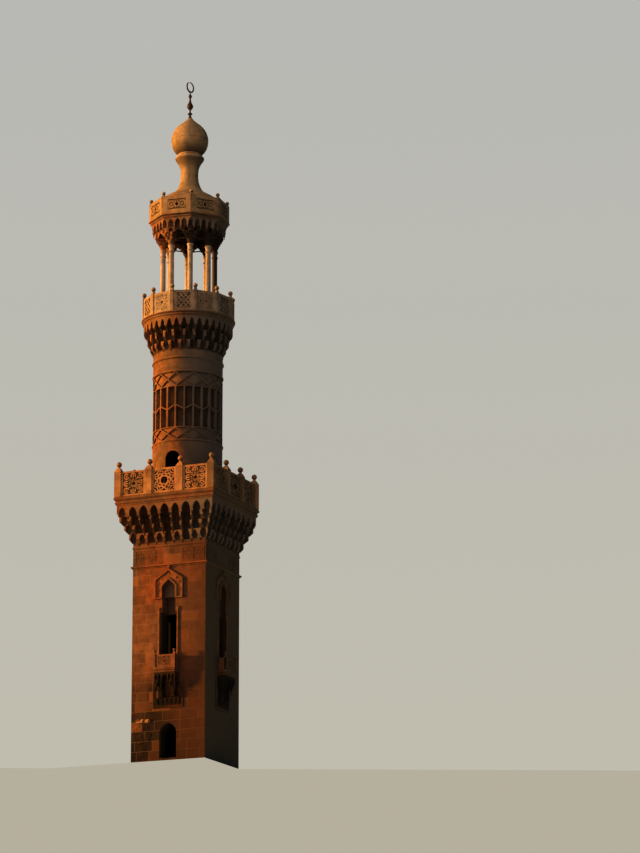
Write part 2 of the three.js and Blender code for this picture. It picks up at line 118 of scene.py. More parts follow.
def plate(outlines, front, back, edge=0.0):
    # Outlines in (x, z), the first one whole and the others holes in it, made a slab that
    # stands between two depths, both on the -Y side
    curve = bpy.data.curves.new("outline", "CURVE")
    curve.dimensions, curve.fill_mode = "2D", "BOTH"
    curve.extrude = abs(back - front) / 2 - edge
    curve.bevel_depth, curve.bevel_resolution = edge, 0
    for points in outlines:
        line = curve.splines.new("POLY")
        line.points.add(len(points) - 1)
        for point, (x, z) in zip(line.points, points):
            point.co = (x, z, 0, 1)
        line.use_cyclic_u = True
    piece = bpy.data.objects.new("outline", curve)
    bpy.context.collection.objects.link(piece)
    only(piece)
    bpy.ops.object.convert(target="MESH")
    piece = cleanUp(bpy.context.object)
    upright = Matrix.Rotation(rad(90), 4, "X")
    piece.data.transform(Matrix.Translation((0, (front + back) / 2, 0)) @ upright)
    return piece


def moved(piece, x=0.0, y=0.0, z=0.0, azimuth=0.0, scale=(1, 1, 1)):
    place = Matrix.Translation((x, y, z)) @ Matrix.Diagonal((*scale, 1))
    piece.data.transform(Matrix.Rotation(rad(azimuth), 4, "Z") @ place)
    return piece


def joined(*parts):
    only(*parts)
    if len(parts) > 1:
        bpy.ops.object.join()
    return bpy.context.object


def repeated(piece, places):      # one piece set at many places, each a copy with its own mesh
    twins = []
    for place in places:
        twin = piece.copy()
        twin.data = piece.data.copy()
        bpy.context.collection.objects.link(twin)
        twins.append(moved(twin, **place))
    return joined(*twins)


def carved(piece, cutter):
    only(piece)
    cut = piece.modifiers.new("carve", "BOOLEAN")
    cut.operation, cut.solver, cut.object = "DIFFERENCE", "MANIFOLD", cutter
    bpy.ops.object.modifier_apply(modifier=cut.name)
    bpy.data.objects.remove(cutter)
    return piece


def finished(piece, name, material, replaces=(), smooth=32, other="", where=None):
    only(piece)
    bpy.ops.object.shade_smooth_by_angle(angle=rad(smooth))
    piece.name = piece.data.name = name
    piece.data.materials.clear()
    for finish in (material, *other.split()):
        piece.data.materials.append(materials[finish])
    if other:         # the faces take their finishes by number, from where their middles lie
        for polygon in piece.data.polygons:
            polygon.material_index = int(where(polygon.center))
    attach(piece, "root")
    if replaces:
        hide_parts(*replaces)
    print("made", name, len(piece.data.polygons))


# Materials


def linear(hexColour):
    parts = [int(hexColour[i:i + 2], 16) / 255 for i in (1, 3, 5)]
    return [c / 12.92 if c <= 0.04045 else ((c + 0.055) / 1.055) ** 2.4 for c in parts] + [1]


def feed(node, **given):
    # Settings by name, and inputs by name or number (i0), each a value, a hex colour or a link
    for key, value in given.items():
        if hasattr(node, key):
            setattr(node, key, value)
            continue
        socket = node.inputs[int(key[1:]) if key[1:].isdigit() else key.replace("_", " ")]
        if isinstance(value, bpy.types.NodeSocket):
            node.id_data.links.new(value, socket)
        else:
            socket.default_value = linear(value) if isinstance(value, str) else value


def add(tree, kind, out=0, stops=(), **given):
    # A node with its settings and links, and the stops of its ramp if it has one, greys by
    # number and colours by hex. It gives back one output, by number or name.
    node = tree.nodes.new("ShaderNode" + kind)
    feed(node, **given)
    if stops:
        spots = node.color_ramp.elements
        while len(spots) < len(stops):
            spots.new(0.5)
        for spot, (place, shade) in zip(spots, stops):
            spot.position = place
            spot.color = linear(shade) if isinstance(shade, str) else (shade, shade, shade, 1)
    return node.outputs[out]


def newMaterial(name, **sockets):
    material = bpy.data.materials.new(name)
    material.use_nodes = True
    tree = material.node_tree
    shader = tree.nodes["Principled BSDF"]
    feed(shader, **sockets)
    return material, tree, shader, add(tree, "TexCoord", "Object")


# Limestone, sawn and hand dressed: warm and pale, and redder and darker low down, where the colour
# ramp and the foot paint shadow below about 4.4 m. It is matt, with roughness near 0.9 and hardly any shine.
stoneLook = {
    "colours": [(0.0, "#3E2E26"), (0.05, "#503C30"), (0.12, "#664A36"), (0.14, "#8A6246"),
                (0.2, "#906646"), (0.28, "#866044"), (0.34, "#805C42"), (0.45, "#927052"),
                (1.0, "#A08060")],
    "lowZ": 0.0, "highZ": 32.0,       # metres over which the colour changes
    "foot": 0.36,         # painted shadow: the share of its brightness left below 3.6 m
    "ior": 1.5, "roughness": 0.9,
    "grain": 70.0,        # tooling and pitting about 14 mm wide, coarser than real so it shows
    "mottle": 2.4,        # patches about 0.4 m wide
    "rust": 0.55, "rustHex": "#AE642E", "rustShare": 0.6,      # redder patches about 1.8 m wide
    # weather stains about 1.1 m wide, drawn down by rain
    "stain": 0.9, "stainHex": "#5C4836", "stainShare": 0.55,
    "course": 0.49, "stoneLength": 0.95, "drumR": 1.77,        # metres
    "joint": 0.012, "jointHex": "#B0947A", "jointShare": 0.28,
    "washedHex": "#BC7C3C", "washedShare": 0.3,       # single stones that are newer or rain-washed
    "underHex": "#2A211A", "underShare": 0.45,        # painted shade on undersides
    "dustHex": "#4E3424", "dustShare": 0.0,           # painted shade that deepens from left to right
    # Painted shade, greyish, on the side away from the key light. It starts and is full at two shares
    # of the way towards that side, by where a point is round the axis or by the way its face looks.
    "leeHex": "#6C675E", "leeShare": 0.5, "leeFrom": -0.3, "leeTo": 0.3, "leeBy": "place",
    "leeWay": (0.946, 0.326, 0),
    "grimeFrom": 0.0,     # metres from the axis, inside which painted shade darkens the stone, near black deepest in
}


def limestone(name, masonry=None, bump=0.5, **change):
    look = {**stoneLook, **change}
    material, tree, shader, coords = newMaterial(name, Roughness=look["roughness"], IOR=look["ior"],
                                                 Specular_IOR_Level=0.2)
    x, y, z = add(tree, "SeparateXYZ", i0=coords).node.outputs
    height = add(tree, "MapRange", i0=z, i1=look["lowZ"], i2=look["highZ"])
    drawn = add(tree, "Mapping", i0=coords, Scale=(1, 1, 0.4))
    grain = add(tree, "TexNoise", Vector=coords, Scale=look["grain"], Detail=3.0)
    mottle = add(tree, "TexNoise", Vector=coords, Scale=look["mottle"], Detail=7.0, Roughness=0.65)
    stain = add(tree, "TexNoise", Vector=drawn, Scale=look["stain"], Detail=6.0, Roughness=0.68)
    rust = add(tree, "TexNoise", Vector=drawn, Scale=look["rust"], Detail=4.0, Roughness=0.6)
    relief = add(tree, "Math", operation="MULTIPLY_ADD", i0=grain, i1=0.3, i2=mottle)
    rustShare = add(tree, "ValToRGB", stops=[(0.48, 0.0), (0.62, look["rustShare"])], i0=rust)
    # painted shadow low down, below about 3.6 m
    foot = add(tree, "ValToRGB", stops=[(0.112, look["foot"]), (0.134, 1.0)], i0=height)
    patches = add(tree, "ValToRGB", stops=[(0.34, 0.42), (0.64, 1.0)], i0=mottle)
    stainShare = add(tree, "ValToRGB", stops=[(0.5, 0.0), (0.7, look["stainShare"])], i0=stain)
    # What lies over the ground colour, in turn: how it mixes, its share, and its colour
    layers = [("MIX", rustShare, look["rustHex"]), ("MULTIPLY", 1.0, foot), ("MULTIPLY", 0.85, patches),
              ("MIX", stainShare, look["stainHex"])]
    if masonry:
        if masonry == "round":      # courses that run round the drum
            angle = add(tree, "Math", operation="ARCTAN2", i0=x, i1=y)
            along = add(tree, "Math", operation="MULTIPLY", i0=angle, i1=look["drumR"])
        else:                       # courses that run on round the square corners
            along = add(tree, "Math", operation="ADD", i0=x, i1=y)
        wander = add(tree, "TexNoise", "Color", Vector=coords, Scale=1.1, Detail=2.0)
        wall = add(tree, "CombineXYZ", i0=along, i1=z)
        wall = add(tree, "MixRGB", blend_type="LINEAR_LIGHT", i0=0.02, i1=wall, i2=wander)
        stones = add(tree, "TexBrick", offset=0.42, squash=0.72, squash_frequency=3, Vector=wall,
                     Color1="#000000", Color2="#FFFFFF", Mortar=(0.5, 0.5, 0.5, 1), Scale=1.0,
                     Mortar_Size=look["joint"], Mortar_Smooth=0.5, Bias=0.0,
                     Brick_Width=look["stoneLength"], Row_Height=look["course"])
        joints = stones.node.outputs["Fac"]
        each = add(tree, "ValToRGB", stops=[(0.0, 0.68), (0.4, 0.84), (0.8, 0.97), (1.0, 1.15)], i0=stones)
        washed = add(tree, "ValToRGB", stops=[(0.9, 0.0), (0.96, look["washedShare"])], i0=stones)
        jointShare = add(tree, "Math", operation="MULTIPLY", i0=joints, i1=look["jointShare"])
        layers += [("MULTIPLY", 0.9, each), ("MIX", washed, look["washedHex"]),
                   ("MIX", jointShare, look["jointHex"])]
        relief = add(tree, "Math", operation="SUBTRACT", i0=relief, i1=joints)
    normal = add(tree, "TexCoord", "Normal")
    upward = add(tree, "SeparateXYZ", "Z", i0=normal)
    # painted shade on faces that look down
    under = add(tree, "MapRange", i0=upward, i1=-0.1, i2=-0.8, i4=look["underShare"])
    # painted shade that deepens across x, from left to right
    dust = add(tree, "MapRange", i0=x, i1=-1.2, i2=2.0, i4=look["dustShare"])
    # painted shade on the side away from the key light, by place round the axis or by the face's normal
    place = normal if look["leeBy"] == "normal" else coords
    place = add(tree, "VectorMath", operation="MULTIPLY", i0=place, i1=(1, 1, 0))
    place = add(tree, "VectorMath", operation="NORMALIZE", i0=place)
    toLee = add(tree, "VectorMath", "Value", operation="DOT_PRODUCT", i0=place, i1=look["leeWay"])
    lee = add(tree, "MapRange", i0=toLee, i1=look["leeFrom"], i2=look["leeTo"], i4=look["leeShare"])
    layers += [("MIX", under, look["underHex"]), ("MIX", dust, look["dustHex"]),
               ("MIX", lee, look["leeHex"])]
    # painted shade inside the openings: darker in from the wall's face, darker below 7.3 m, near black deep
    # in
    if look["grimeFrom"]:
        acrossX, acrossY = [add(tree, "Math", operation="ABSOLUTE", i0=axis) for axis in (x, y)]
        reach = add(tree, "Math", operation="MAXIMUM", i0=acrossX, i1=acrossY)
        grime = add(tree, "MapRange", i0=reach, i1=look["grimeFrom"], i2=look["grimeFrom"] - 0.15)
        recess = add(tree, "ValToRGB", stops=[(0.228, "#38342E"), (0.234, "#6E5E50")], i0=height)
        deep = add(tree, "MapRange", i0=reach, i1=1.1, i2=1.3)
        layers.append(("MIX", grime, add(tree, "MixRGB", i0=deep, i1="#0E0B09", i2=recess)))
    # the colour by height, whose darkest low steps are painted shadow
    tone = add(tree, "ValToRGB", stops=look["colours"], i0=height)
    for blend, share, colour in layers:
        tone = add(tree, "MixRGB", blend_type=blend, i0=share, i1=tone, i2=colour)
    feed(shader, Base_Color=tone, Normal=add(tree, "Bump", Strength=bump, Distance=0.012, Height=relief))
    return material


def oxidisedBronze():     # cast copper alloy gone dark brown, with dull green in its hollows
    material, tree, shader, coords = newMaterial("oxidisedBronze", Metallic=0.7)
    patina = add(tree, "TexNoise", Vector=coords, Scale=9.0, Detail=6.0)
    feed(shader, Roughness=add(tree, "ValToRGB", stops=[(0.3, 0.4), (0.8, 0.7)], i0=patina),
         Base_Color=add(tree, "ValToRGB", stops=[(0.35, "#2B2019"), (0.6, "#473629"), (0.78, "#3C4034")],
                        i0=patina))
    return material


def weatheredTimber():    # bare tie beams gone grey brown, with fibres about 25 mm apart
    material, tree, shader, coords = newMaterial("weatheredTimber", Roughness=0.85)
    fibre = add(tree, "TexNoise", Vector=coords, Scale=40.0, Detail=4.0)
    feed(shader, Base_Color=add(tree, "ValToRGB", stops=[(0.3, "#2A1E14"), (0.7, "#4A3826")], i0=fibre),
         Normal=add(tree, "Bump", Strength=0.3, Distance=0.004, Height=fibre))
    return material


# painted shade, greyish, on faces that look away from the key light
sideSoot = {"leeHex": "#5E5846", "leeFrom": 0.0, "leeTo": 0.9, "leeBy": "normal"}
materials = {
    # the walls: painted shade inside the openings, across the front from left to right, and on faces turned
    # from the key light
    "ashlar": limestone("ashlarLimestone", "square", grimeFrom=1.88, leeShare=0.85, dustShare=0.8,
                        **sideSoot),
    "flags": limestone("floorLimestone", "square", course=0.6, stoneLength=0.6),
    # drum, dressed and carved stone take painted shade on the side away from the key light
    "drum": limestone("drumLimestone", "round", colours=[(0.0, "#866848"), (1.0, "#866848")], leeShare=0.8),
    "dressed": limestone("dressedLimestone", leeShare=0.8, **sideSoot),
    "carved": limestone("carvedLimestone", bump=0.35, leeShare=0.85,
                        colours=[(0.3, "#8E6A4A"), (1.0, "#96724E")]),
    "pale": limestone("paleLimestone", bump=0.3, stainShare=0.3, rustShare=0.2, leeShare=0.1,
                      underShare=0.85, foot=1.0,
                      colours=[(0.4, "#C6986A"), (0.66, "#C6986A"), (0.7, "#B0A086"), (0.8, "#B0A086"),
                               (0.88, "#A48E68"), (0.91, "#A48E68"), (0.93, "#A8946E")]),
    # painted shade: pale stone darkened for the main parapet's side away from the key light, and the ground
    # of its side scrolls
    "soiled": limestone("soiledLimestone", bump=0.3, leeShare=0.1,
                        colours=[(0.4, "#987E5B"), (0.5, "#987E5B")]),
    # the columns, turned and rubbed smooth; those that stand on the side away from the key light take
    # near-black painted shade
    "rubbed": limestone("rubbedLimestone", bump=0.15, stainShare=0.2, rustShare=0.1, roughness=0.7,
                        colours=[(0.0, "#C2B6A4"), (1.0, "#C2B6A4")],
                        leeShare=0.95, leeHex="#4A4036", leeFrom=0.86, leeTo=0.96),
    # painted shade: darker stone in the hollows of the carving
    "crusted": limestone("crustedLimestone", bump=0.4, stainHex="#32261C", rustShare=0.15,
                         leeShare=0.8, leeHex="#48433B", colours=[(0.0, "#58422F"), (1.0, "#5E4834")]),
    # near-black painted shade under the arches, in the doorway's reveals and within the balcony's bracket
    "sooty": limestone("sootyLimestone", bump=0.4, stainHex="#241C15", rustShare=0.1, leeHex="#2E2A25",
                       colours=[(0.0, "#34291F"), (1.0, "#34291F")]),
    # under the crown: painted shade, near black but for the side that faces the key light
    "smoked": limestone("smokedLimestone", bump=0.35, leeShare=0.95, leeHex="#2C261F", leeFrom=-0.6,
                        leeTo=-0.25, colours=[(0.8, "#96724E"), (1.0, "#96724E")]),
    # the sunk ground of the small parapets' carving, darkened as painted shade
    "dusty": limestone("dustyLimestone", bump=0.3, rustShare=0.15, leeShare=0.3,
                       colours=[(0.7, "#6E5E48"), (0.8, "#6E5E48"), (0.88, "#76603E"), (1.0, "#76603E")]),
    "bronze": oxidisedBronze(),
    "timber": weatheredTimber(),
}
nodeFinish = {"base_floor": "flags", "window_floor": "flags", "tie_ring": "timber", "finial": "bronze"}
for name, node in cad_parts.items():
    wallHere = name.split("_")[0] in quarters and name.endswith("_wall")
    for spot in node.material_slots:
        spot.material = materials[nodeFinish.get(name, "ashlar" if wallHere else "carved")]
print("materials made")

# Camera: solved from the shaft's edges and the ring levels of the photograph
camera = {
    "distance": 167.0, "z": -25.95, "azimuth": 25.47, "pitch": 14.53, "roll": -0.13,
    "aside": math.degrees(0.0402),      # the tower stands left of the picture's middle
    "focal": 3400.0, "longSide": 853.0,  # in pixels
}
lens = bpy.data.cameras.new("camera")
lens.sensor_width = 36
lens.lens = camera["focal"] / camera["longSide"] * lens.sensor_width
lens.clip_end = 2000
viewer = bpy.data.objects.new("camera", lens)
bpy.context.collection.objects.link(viewer)
bpy.context.scene.camera = viewer
side = rad(camera["azimuth"])
viewer.location = placeOf(camera)
viewer.rotation_euler = (
    Matrix.Rotation(side - rad(camera["aside"]), 3, "Z")
    @ Matrix.Rotation(rad(90 + camera["pitch"]), 3, "X")
    @ Matrix.Rotation(rad(camera["roll"]), 3, "Z")
).to_euler()

# Light: a low warm key from the left with a broad soft glow round it, a weak soft one for the
# far side, a soft panel that lifts the crown, and a pale room
suns = [
    {"azimuth": -71.0, "height": 6.5, "hex": "#FFAE44", "power": 8.9, "softness": 6.0},
    {"azimuth": -38.0, "height": 34.0, "hex": "#FFD0AC", "power": 1.0, "softness": 85.0},
    {"azimuth": 200.0, "height": 12.0, "hex": "#FFE6CC", "power": 1.3, "softness": 40.0},
]
crownLight = {"azimuth": -8.0, "distance": 16.0, "z": 37.0, "aimZ": 29.0, "size": 9.0, "hex": "#FFC79E",
              "power": 1450.0}
for light in [*suns, crownLight]:
    bpy.ops.object.select_all(action="DESELECT")
    bpy.ops.object.light_add(type="AREA" if "size" in light else "SUN")
    lamp = bpy.context.object
    lamp.data.color = linear(light["hex"])[:3]
    lamp.data.energy = light["power"]
    if "size" in light:
        lamp.data.shape, lamp.data.size = "DISK", light["size"]
        lamp.location = placeOf(light)
        aim = Vector((0, 0, light["aimZ"])) - lamp.location
        lamp.rotation_euler = aim.to_track_quat("-Z", "Y").to_euler()
    else:
        lamp.data.angle = rad(light["softness"])
        tilt = Matrix.Rotation(rad(90 - light["height"]), 3, "X")
        lamp.rotation_euler = (Matrix.Rotation(rad(light["azimuth"]), 3, "Z") @ tilt).to_euler()
world = bpy.data.worlds.new("room")
bpy.context.scene.world = world
world.use_nodes = True
room = world.node_tree
rise = add(room, "SeparateXYZ", "Z", i0=add(room, "TexCoord", "Generated"))
sky = add(room, "ValToRGB", stops=[(0.14, "#C8C5B7"), (0.37, "#C0C0BD")], i0=rise)
seen = add(room, "Background", Color=sky, Strength=1.0)
lit = add(room, "Background", Color="#B8D8E8", Strength=0.16)
eye = add(room, "LightPath", "Is Camera Ray")
feed(room.nodes["World Output"], i0=add(room, "MixShader", i0=eye, i1=lit, i2=seen))
bpy.context.scene.view_settings.view_transform = "Standard"
bpy.context.scene.view_settings.gamma = 0.87       # a little more contrast, as on film

# Floor: a pale disc. The photograph looks up from 26 m below it, so from underneath it is
# clear in front of the tower and pale behind it.
floor = primitive("circle", vertices=96, radius=70, location=(0, 0, -0.01), fill_type="NGON")
floor.name = "floor"
paleFloor, tree, shader, coords = newMaterial("paleFloor", Roughness=0.9)
speckle = add(tree, "TexNoise", Vector=coords, Scale=0.6, Detail=5.0)
feed(shader, Base_Color=add(tree, "ValToRGB", stops=[(0.3, "#CCD2D6"), (0.7, "#D6DCE0")], i0=speckle))
x, y = add(tree, "SeparateXYZ", i0=coords).node.outputs[:2]
away = add(tree, "VectorMath", "Value", operation="DOT_PRODUCT", i0=coords,
           i1=(-math.sin(side), math.cos(side), 0))
tests = [("GREATER_THAN", y, -wallFace), ("LESS_THAN", x, wallFace), ("GREATER_THAN", away, 0.95)]
backY, leftX, far = [add(tree, "Math", operation=test, i0=value, i1=limit) for test, value, limit in tests]
corner = add(tree, "Math", operation="MULTIPLY", i0=backY, i1=leftX)
behind = add(tree, "Math", operation="MAXIMUM", i0=far, i1=corner)
haze = add(tree, "Emission", Color="#BEB8A8", Strength=1.0)
under = add(tree, "MixShader", i0=behind, i1=add(tree, "BsdfTransparent"), i2=haze)
fromBelow = add(tree, "NewGeometry", "Backfacing")
floorShader = add(tree, "MixShader", i0=fromBelow, i1=shader.outputs[0], i2=under)
feed(tree.nodes["Material Output"], i0=floorShader)
floor.data.materials.append(paleFloor)
print("camera, light and floor set")

# Ornament, as outlines in (x, z) round a panel's middle: what stands in its sunk field, and
# then the gaps that are cut through it. The field's half-width and half-height are w and h.


def star(x, z, outer, inner, points=8, turn=0.0):
    angles = [rad(turn + 180 * k / points) for k in range(2 * points)]
    reach = [outer, inner] * points
    return [(x + r * math.cos(a), z + r * math.sin(a)) for r, a in zip(reach, angles)]


def rectangle(x, half, low, high):
    return [(x - half, low), (x + half, low), (x + half, high), (x - half, high)]


def diamond(x, z, w, h):
    return [(x + w, z), (x, z + h), (x - w, z), (x, z - h)]


def petal(r0, r1, azimuth, width, widest=0.62):        # a kite that points out from the middle
    c, s = math.cos(rad(azimuth)), math.sin(rad(azimuth))
    r = r0 + (r1 - r0) * widest
    return [(r0 * c, r0 * s), (r * c + width * s, r * s - width * c), (r1 * c, r1 * s),
            (r * c - width * s, r * s + width * c)]


def hook(x, z, outer, inner, start, sweep=250):       # a curl of the scroll work
    angles = [rad(start + sweep * k / 9) for k in range(10)]
    way = [(outer, a) for a in angles] + [(inner, a) for a in reversed(angles)]
    return [(x + r * math.cos(a), z + r * math.sin(a)) for r, a in way]


def mirrored(shapes, sx, sz):
    return [[(x * sx, z * sz) for x, z in shape] for shape in shapes]


def bands(w, h, distance, turns, width, reach=9.0):
    # Straight bands that pass the middle at a distance, from edge to edge or within a reach.
    # Distances are shares of the field's half-width and half-height.
    found = []
    for turn in turns:
        c, s = math.cos(rad(turn)), math.sin(rad(turn))
        start, end = -reach, reach
        for middle, slope in ((c * distance, -s), (s * distance, c)):
            if abs(slope) > 0.001:
                near, far = sorted(((-1 - middle) / slope, (1 - middle) / slope))
                start, end = max(start, near), min(end, far)
        if start < end:
            ends = [Vector(((c * distance - s * t) * w, (s * distance + c * t) * h))
                    for t in (start, end)]
            out = (ends[1] - ends[0]).normalized() * width / 2
            found.append([(p.x + way * out.y, p.y - way * out.x) for way, p in
                          ((1, ends[0]), (1, ends[1]), (-1, ends[1]), (-1, ends[0]))])
    return found


def starWork(w, h, eye, width):      # an eight-pointed star net, a gap at the middle of each side
    raised = bands(w, h, eye + 0.03, around(8, 22.5), width, 0.48) + bands(w, h, 0.5, around(4, 45), width)
    raised += bands(w, h, 0.653, around(8, 22.5), width) + bands(w, h, 0.6, around(4), width * 0.8)
    raised += bands(w, h, 1.0, around(4, 45), width) + bands(w, h, 1.24, around(4, 45), width * 1.6)
    gap = [(0, 0.72 * h), (0.22 * w, 0.97 * h), (-0.22 * w, 0.97 * h)]
    gaps = [gap, [(x, -z) for x, z in gap], [(0.72 * w, 0), (0.97 * w, 0.22 * h), (0.97 * w, -0.22 * h)],
            [(-0.72 * w, 0), (-0.97 * w, 0.22 * h), (-0.97 * w, -0.22 * h)]]
    return raised, [star(0, 0, eye * w, eye * w * 0.8), *gaps]


def scrollWork(w, h, eye=0.115):     # curls round a small pierced star
    corner = [hook(w * 0.67, h * 0.67, 0.165, 0.1, 195, 305),
              hook(w * 0.67, h * 0.67, 0.06, 0.02, 0, 330), hook(w * 0.34, h * 0.36, 0.05, 0.02, 20, 200)]
    side = [hook(w * 0.68, 0, 0.155, 0.095, -125, 250), petal(w * 0.42, w * 0.86, 0, 0.04),
            hook(w * 0.38, 0, 0.045, 0.02, 95, 170)]
    top = [[(z, x) for x, z in shape] for shape in side]
    raised = [shape for sx in (-1, 1) for sz in (-1, 1) for shape in mirrored(corner, sx, sz)]
    raised += mirrored(side, 1, 1) + mirrored(side, -1, 1) + mirrored(top, 1, 1) + mirrored(top, 1, -1)
    return raised, [star(0, 0, eye, eye * 0.6)]


def twinScroll(w, h, eye=0.055):     # a big curl on either side of a small pierced star
    r = h * 0.78
    half = [hook(w * 0.6, 0, r, r * 0.6, -150, 290), hook(w * 0.6, 0, r * 0.36, 0.004, 0, 340),
            hook(0, 0, eye * 1.9, eye * 1.15, -80, 160), petal(eye * 1.7, w * 0.42, 72, 0.035),
            petal(eye * 1.7, w * 0.42, -72, 0.035)]
    half += [[(x + w * 0.87, z + way * h * 0.8) for x, z in petal(-0.05, 0.05, way * 45, 0.025, 0.5)]
             for way in (-1, 1)]
    return mirrored(half, 1, 1) + mirrored(half, -1, -1), [star(0, 0, eye, eye * 0.6)]


def latticeWork(w, h, width):        # crossing diagonals with a diamond in the middle
    raised = []
    for distance in (-0.75, -0.25, 0.25, 0.75):
        raised += bands(w * 0.96, h * 0.96, distance, (45, 135), width)
    return raised + [diamond(0, 0, w * 0.14, h * 0.14)], []


def inFields(azimuths, out, spans):
    # True of the sunk ground of panels: what lies behind their fronts, at a distance out from
    # the axis, and within their spans, each a middle and a half-width
    def isGround(spot):
        for azimuth in azimuths:
            c, s = math.cos(rad(azimuth)), math.sin(rad(azimuth))
            along, reach = spot.x * c + spot.y * s, spot.x * s - spot.y * c
            within = any(abs(along - middle) < half for middle, half in spans)
            if within and 0.8 * out < reach < out - 0.013:
                return True
        return False
    return isGround


def carvedPanel(work, field, half, low, high, front, depth, thickness):
    # The field is sunk by depth, its bands and curls stand in it, and some gaps are cut through
    middle = (low + high) / 2
    w, h = field
    edges, opening = rectangle(0, half, low, high), rectangle(0, w, middle - h, middle + h)
    raised, gaps = [[[(x, z + middle) for x, z in shape] for shape in shapes] for shapes in work]
    ground = front + depth
    parts = [plate([edges, opening], front, ground), plate([edges, *gaps], ground, front + thickness)]
    for k, shape in enumerate(raised):      # each a little lower than the last, so none are flush
        parts.append(plate([shape], front + 0.004 + 0.0015 * (k % 5), ground + 0.004))
    return joined(*parts)


def ball(r, z, foot, neck):     # a stone ball on its little neck
    arc = [(r * math.sin(rad(a)), z - r * math.cos(rad(a))) for a in range(30, 181, 15)]
    base = [(0, foot - 0.01), (neck * 1.3, foot - 0.01), (neck * 1.3, foot + 0.012), (neck, foot + 0.02)]
    return turned(base + arc, 16)


def balustradePost(width, foot, rail, capTop, capHalf, ballZ, ballR):
    half = width / 2
    shaft = turned([(half, foot), (half, rail), (half + 0.006, rail + 0.01), (half + 0.006, rail + 0.03),
                    (capHalf, capTop), (0, capTop)], 4, 45)
    return joined(shaft, ball(ballR, ballZ, capTop, ballR * 0.5))


# A cell of the corbelling: a pointed hollow, one metre in radius and height, to be scaled
cellLine = [(0, 0), (1, 0), (1, 0.38), (0.93, 0.54), (0.77, 0.69), (0.54, 0.83), (0.26, 0.94), (0, 1)]
cellShape = turned(cellLine, 10)
# A pendant that hangs between two cells, with its top at zero
dropShape = turned([(0, -0.4), (0.022, -0.37), (0.045, -0.3), (0.027, -0.22), (0.034, -0.1), (0.058, -0.03),
                    (0.058, 0.02), (0, 0.02)], 8)


def cellAt(x, face, halfWidth, depth, foot, top, azimuth=0.0):
    return {"x": x, "y": -face, "z": foot, "azimuth": azimuth, "scale": (halfWidth, depth, top - foot)}


def dropAt(x, out, z, size, length, azimuth=0.0):
    return {"x": x, "y": -out, "z": z, "azimuth": azimuth, "scale": (size, size, length)}


def corbelled(tier, cells, hung):       # hollowed by its cells, with its pendants hung on
    return joined(carved(tier, repeated(cellShape, cells)), repeated(dropShape, hung))


print("ornament ready")

# Square bands of the shaft's head
stairWell = 1.07


def squareBand(profile):
    return turned(profile, 4, 45, stairWell)


courseLine = [(2.0, 9.65), (2.03, 9.665), (2.03, 9.69), (2.055, 9.7), (2.09, 9.735), (2.09, 9.79),
              (2.03, 9.82), (2.0, 9.83)]
friezeLine = [(2.0, 9.83), (2.0, 10.69), (2.03, 10.71), (2.03, 10.76), (2.015, 10.79), (2.0, 10.8),
              (2.0, 10.9)]
finished(squareBand(courseLine), "stringCourse", "dressed", ["string_course"])
panels = []        # worn low carving at both ends of a side, with plain stone between them
for x, half in ((-1.3, 0.56), (1.0, 0.3), (1.64, 0.28)):
    frameLines = [rectangle(x, half, 9.98, 10.58), rectangle(x, half - 0.035, 10.015, 10.545)]
    panels.append(plate(frameLines, -2.014, bedded))
    rings = (-0.3, 0.3) if half > 0.5 else (0,)
    for radii in ((0.22, 0.17, 0.12), (0.075, 0.05)):
        for d in rings:
            stars = [star(x + d, 10.28, outer, inner) for outer, inner in zip(radii, radii[1:])]
            panels.append(plate(stars, -2.012, bedded))
panelRow = joined(*panels)
friezePanels = repeated(panelRow, facing(quarters.values()))
finished(joined(squareBand(friezeLine), friezePanels), "frieze", "ashlar", ["frieze"])

# Main corbelling: four tiers of nine cells a side, one above another. Most cells open into the
# one above, so that slender piers with pendants are left between tall dark hollows.
# Each cell is (half-width, depth, head), first for the even ones and then for the odd.
mainCorbel = [
    {"half": 2.16, "foot": 10.98, "top": 11.45, "even": (0.2, 0.3, 11.6), "odd": (0.16, 0.2, 11.42)},
    {"half": 2.35, "foot": 11.45, "top": 11.85, "even": (0.235, 0.42, 12.35), "odd": (0.2, 0.3, 12.1)},
    {"half": 2.53, "foot": 11.85, "top": 12.28, "even": (0.265, 0.5, 12.95), "odd": (0.22, 0.38, 12.6)},
    {"half": 2.63, "foot": 12.28, "top": 12.85, "even": (0.225, 0.46, 12.77), "odd": (0.2, 0.36, 12.74)},
]
cellsInRow = 9


def sheltered(reach, outside, deep=0.07):     # true of what lies well behind the outside
    return lambda middle: reach(middle) < outside - deep


def squareReach(spot):
    return max(abs(spot.x), abs(spot.y))


def roundReach(spot):
    return math.hypot(spot.x, spot.y)


below = wallFace
for i, t in enumerate(mainCorbel):
    half, foot = t["half"], t["foot"]
    pitch, last = 2 * half / cellsInRow, cellsInRow // 2
    rise = [] if i else [(below, friezeLine[-1][1])]
    rise += [(below, foot), (below + 0.03, foot), (half, foot + 0.2), (half, t["top"])]
    cells = []
    for azimuth in quarters.values():
        for k in range(-last, last + 1):
            halfWidth, depth, head = t["odd"] if k % 2 else t["even"]
            if abs(k) == last:        # kept clear of the cell round the corner
                halfWidth = depth = min(halfWidth, depth, 0.17)
            cells.append(cellAt(k * pitch, half, halfWidth, depth, foot - 0.02, head, azimuth))
    hung = [dropAt((k + 0.5) * pitch, below, foot + 0.01, 0.7, 0.4, azimuth)
            for azimuth in quarters.values() for k in range(-last, last)]
    # the hollows behind each tier's outside take painted shade
    finished(corbelled(squareBand(rise), cells, hung), f"corbelTier{i + 1}", "carved",
             [f"corbel_tier_{i + 1}"], other="crusted", where=sheltered(squareReach, half))
    below = half

# Main balcony: the slab with its double moulding
slabEdge = [(0, 12.85), (2.66, 12.85), (2.67, 12.91), (2.71, 12.95), (2.71, 13.0), (2.675, 13.03),
            (2.69, 13.09), (2.745, 13.14), (2.76, 13.17), (2.76, 13.23), (2.725, 13.26), (2.735, 13.3),
            (0, 13.3)]
finished(turned(slabEdge, 4, 45), "mainBalconySlab", "dressed", ["main_balcony_floor"])

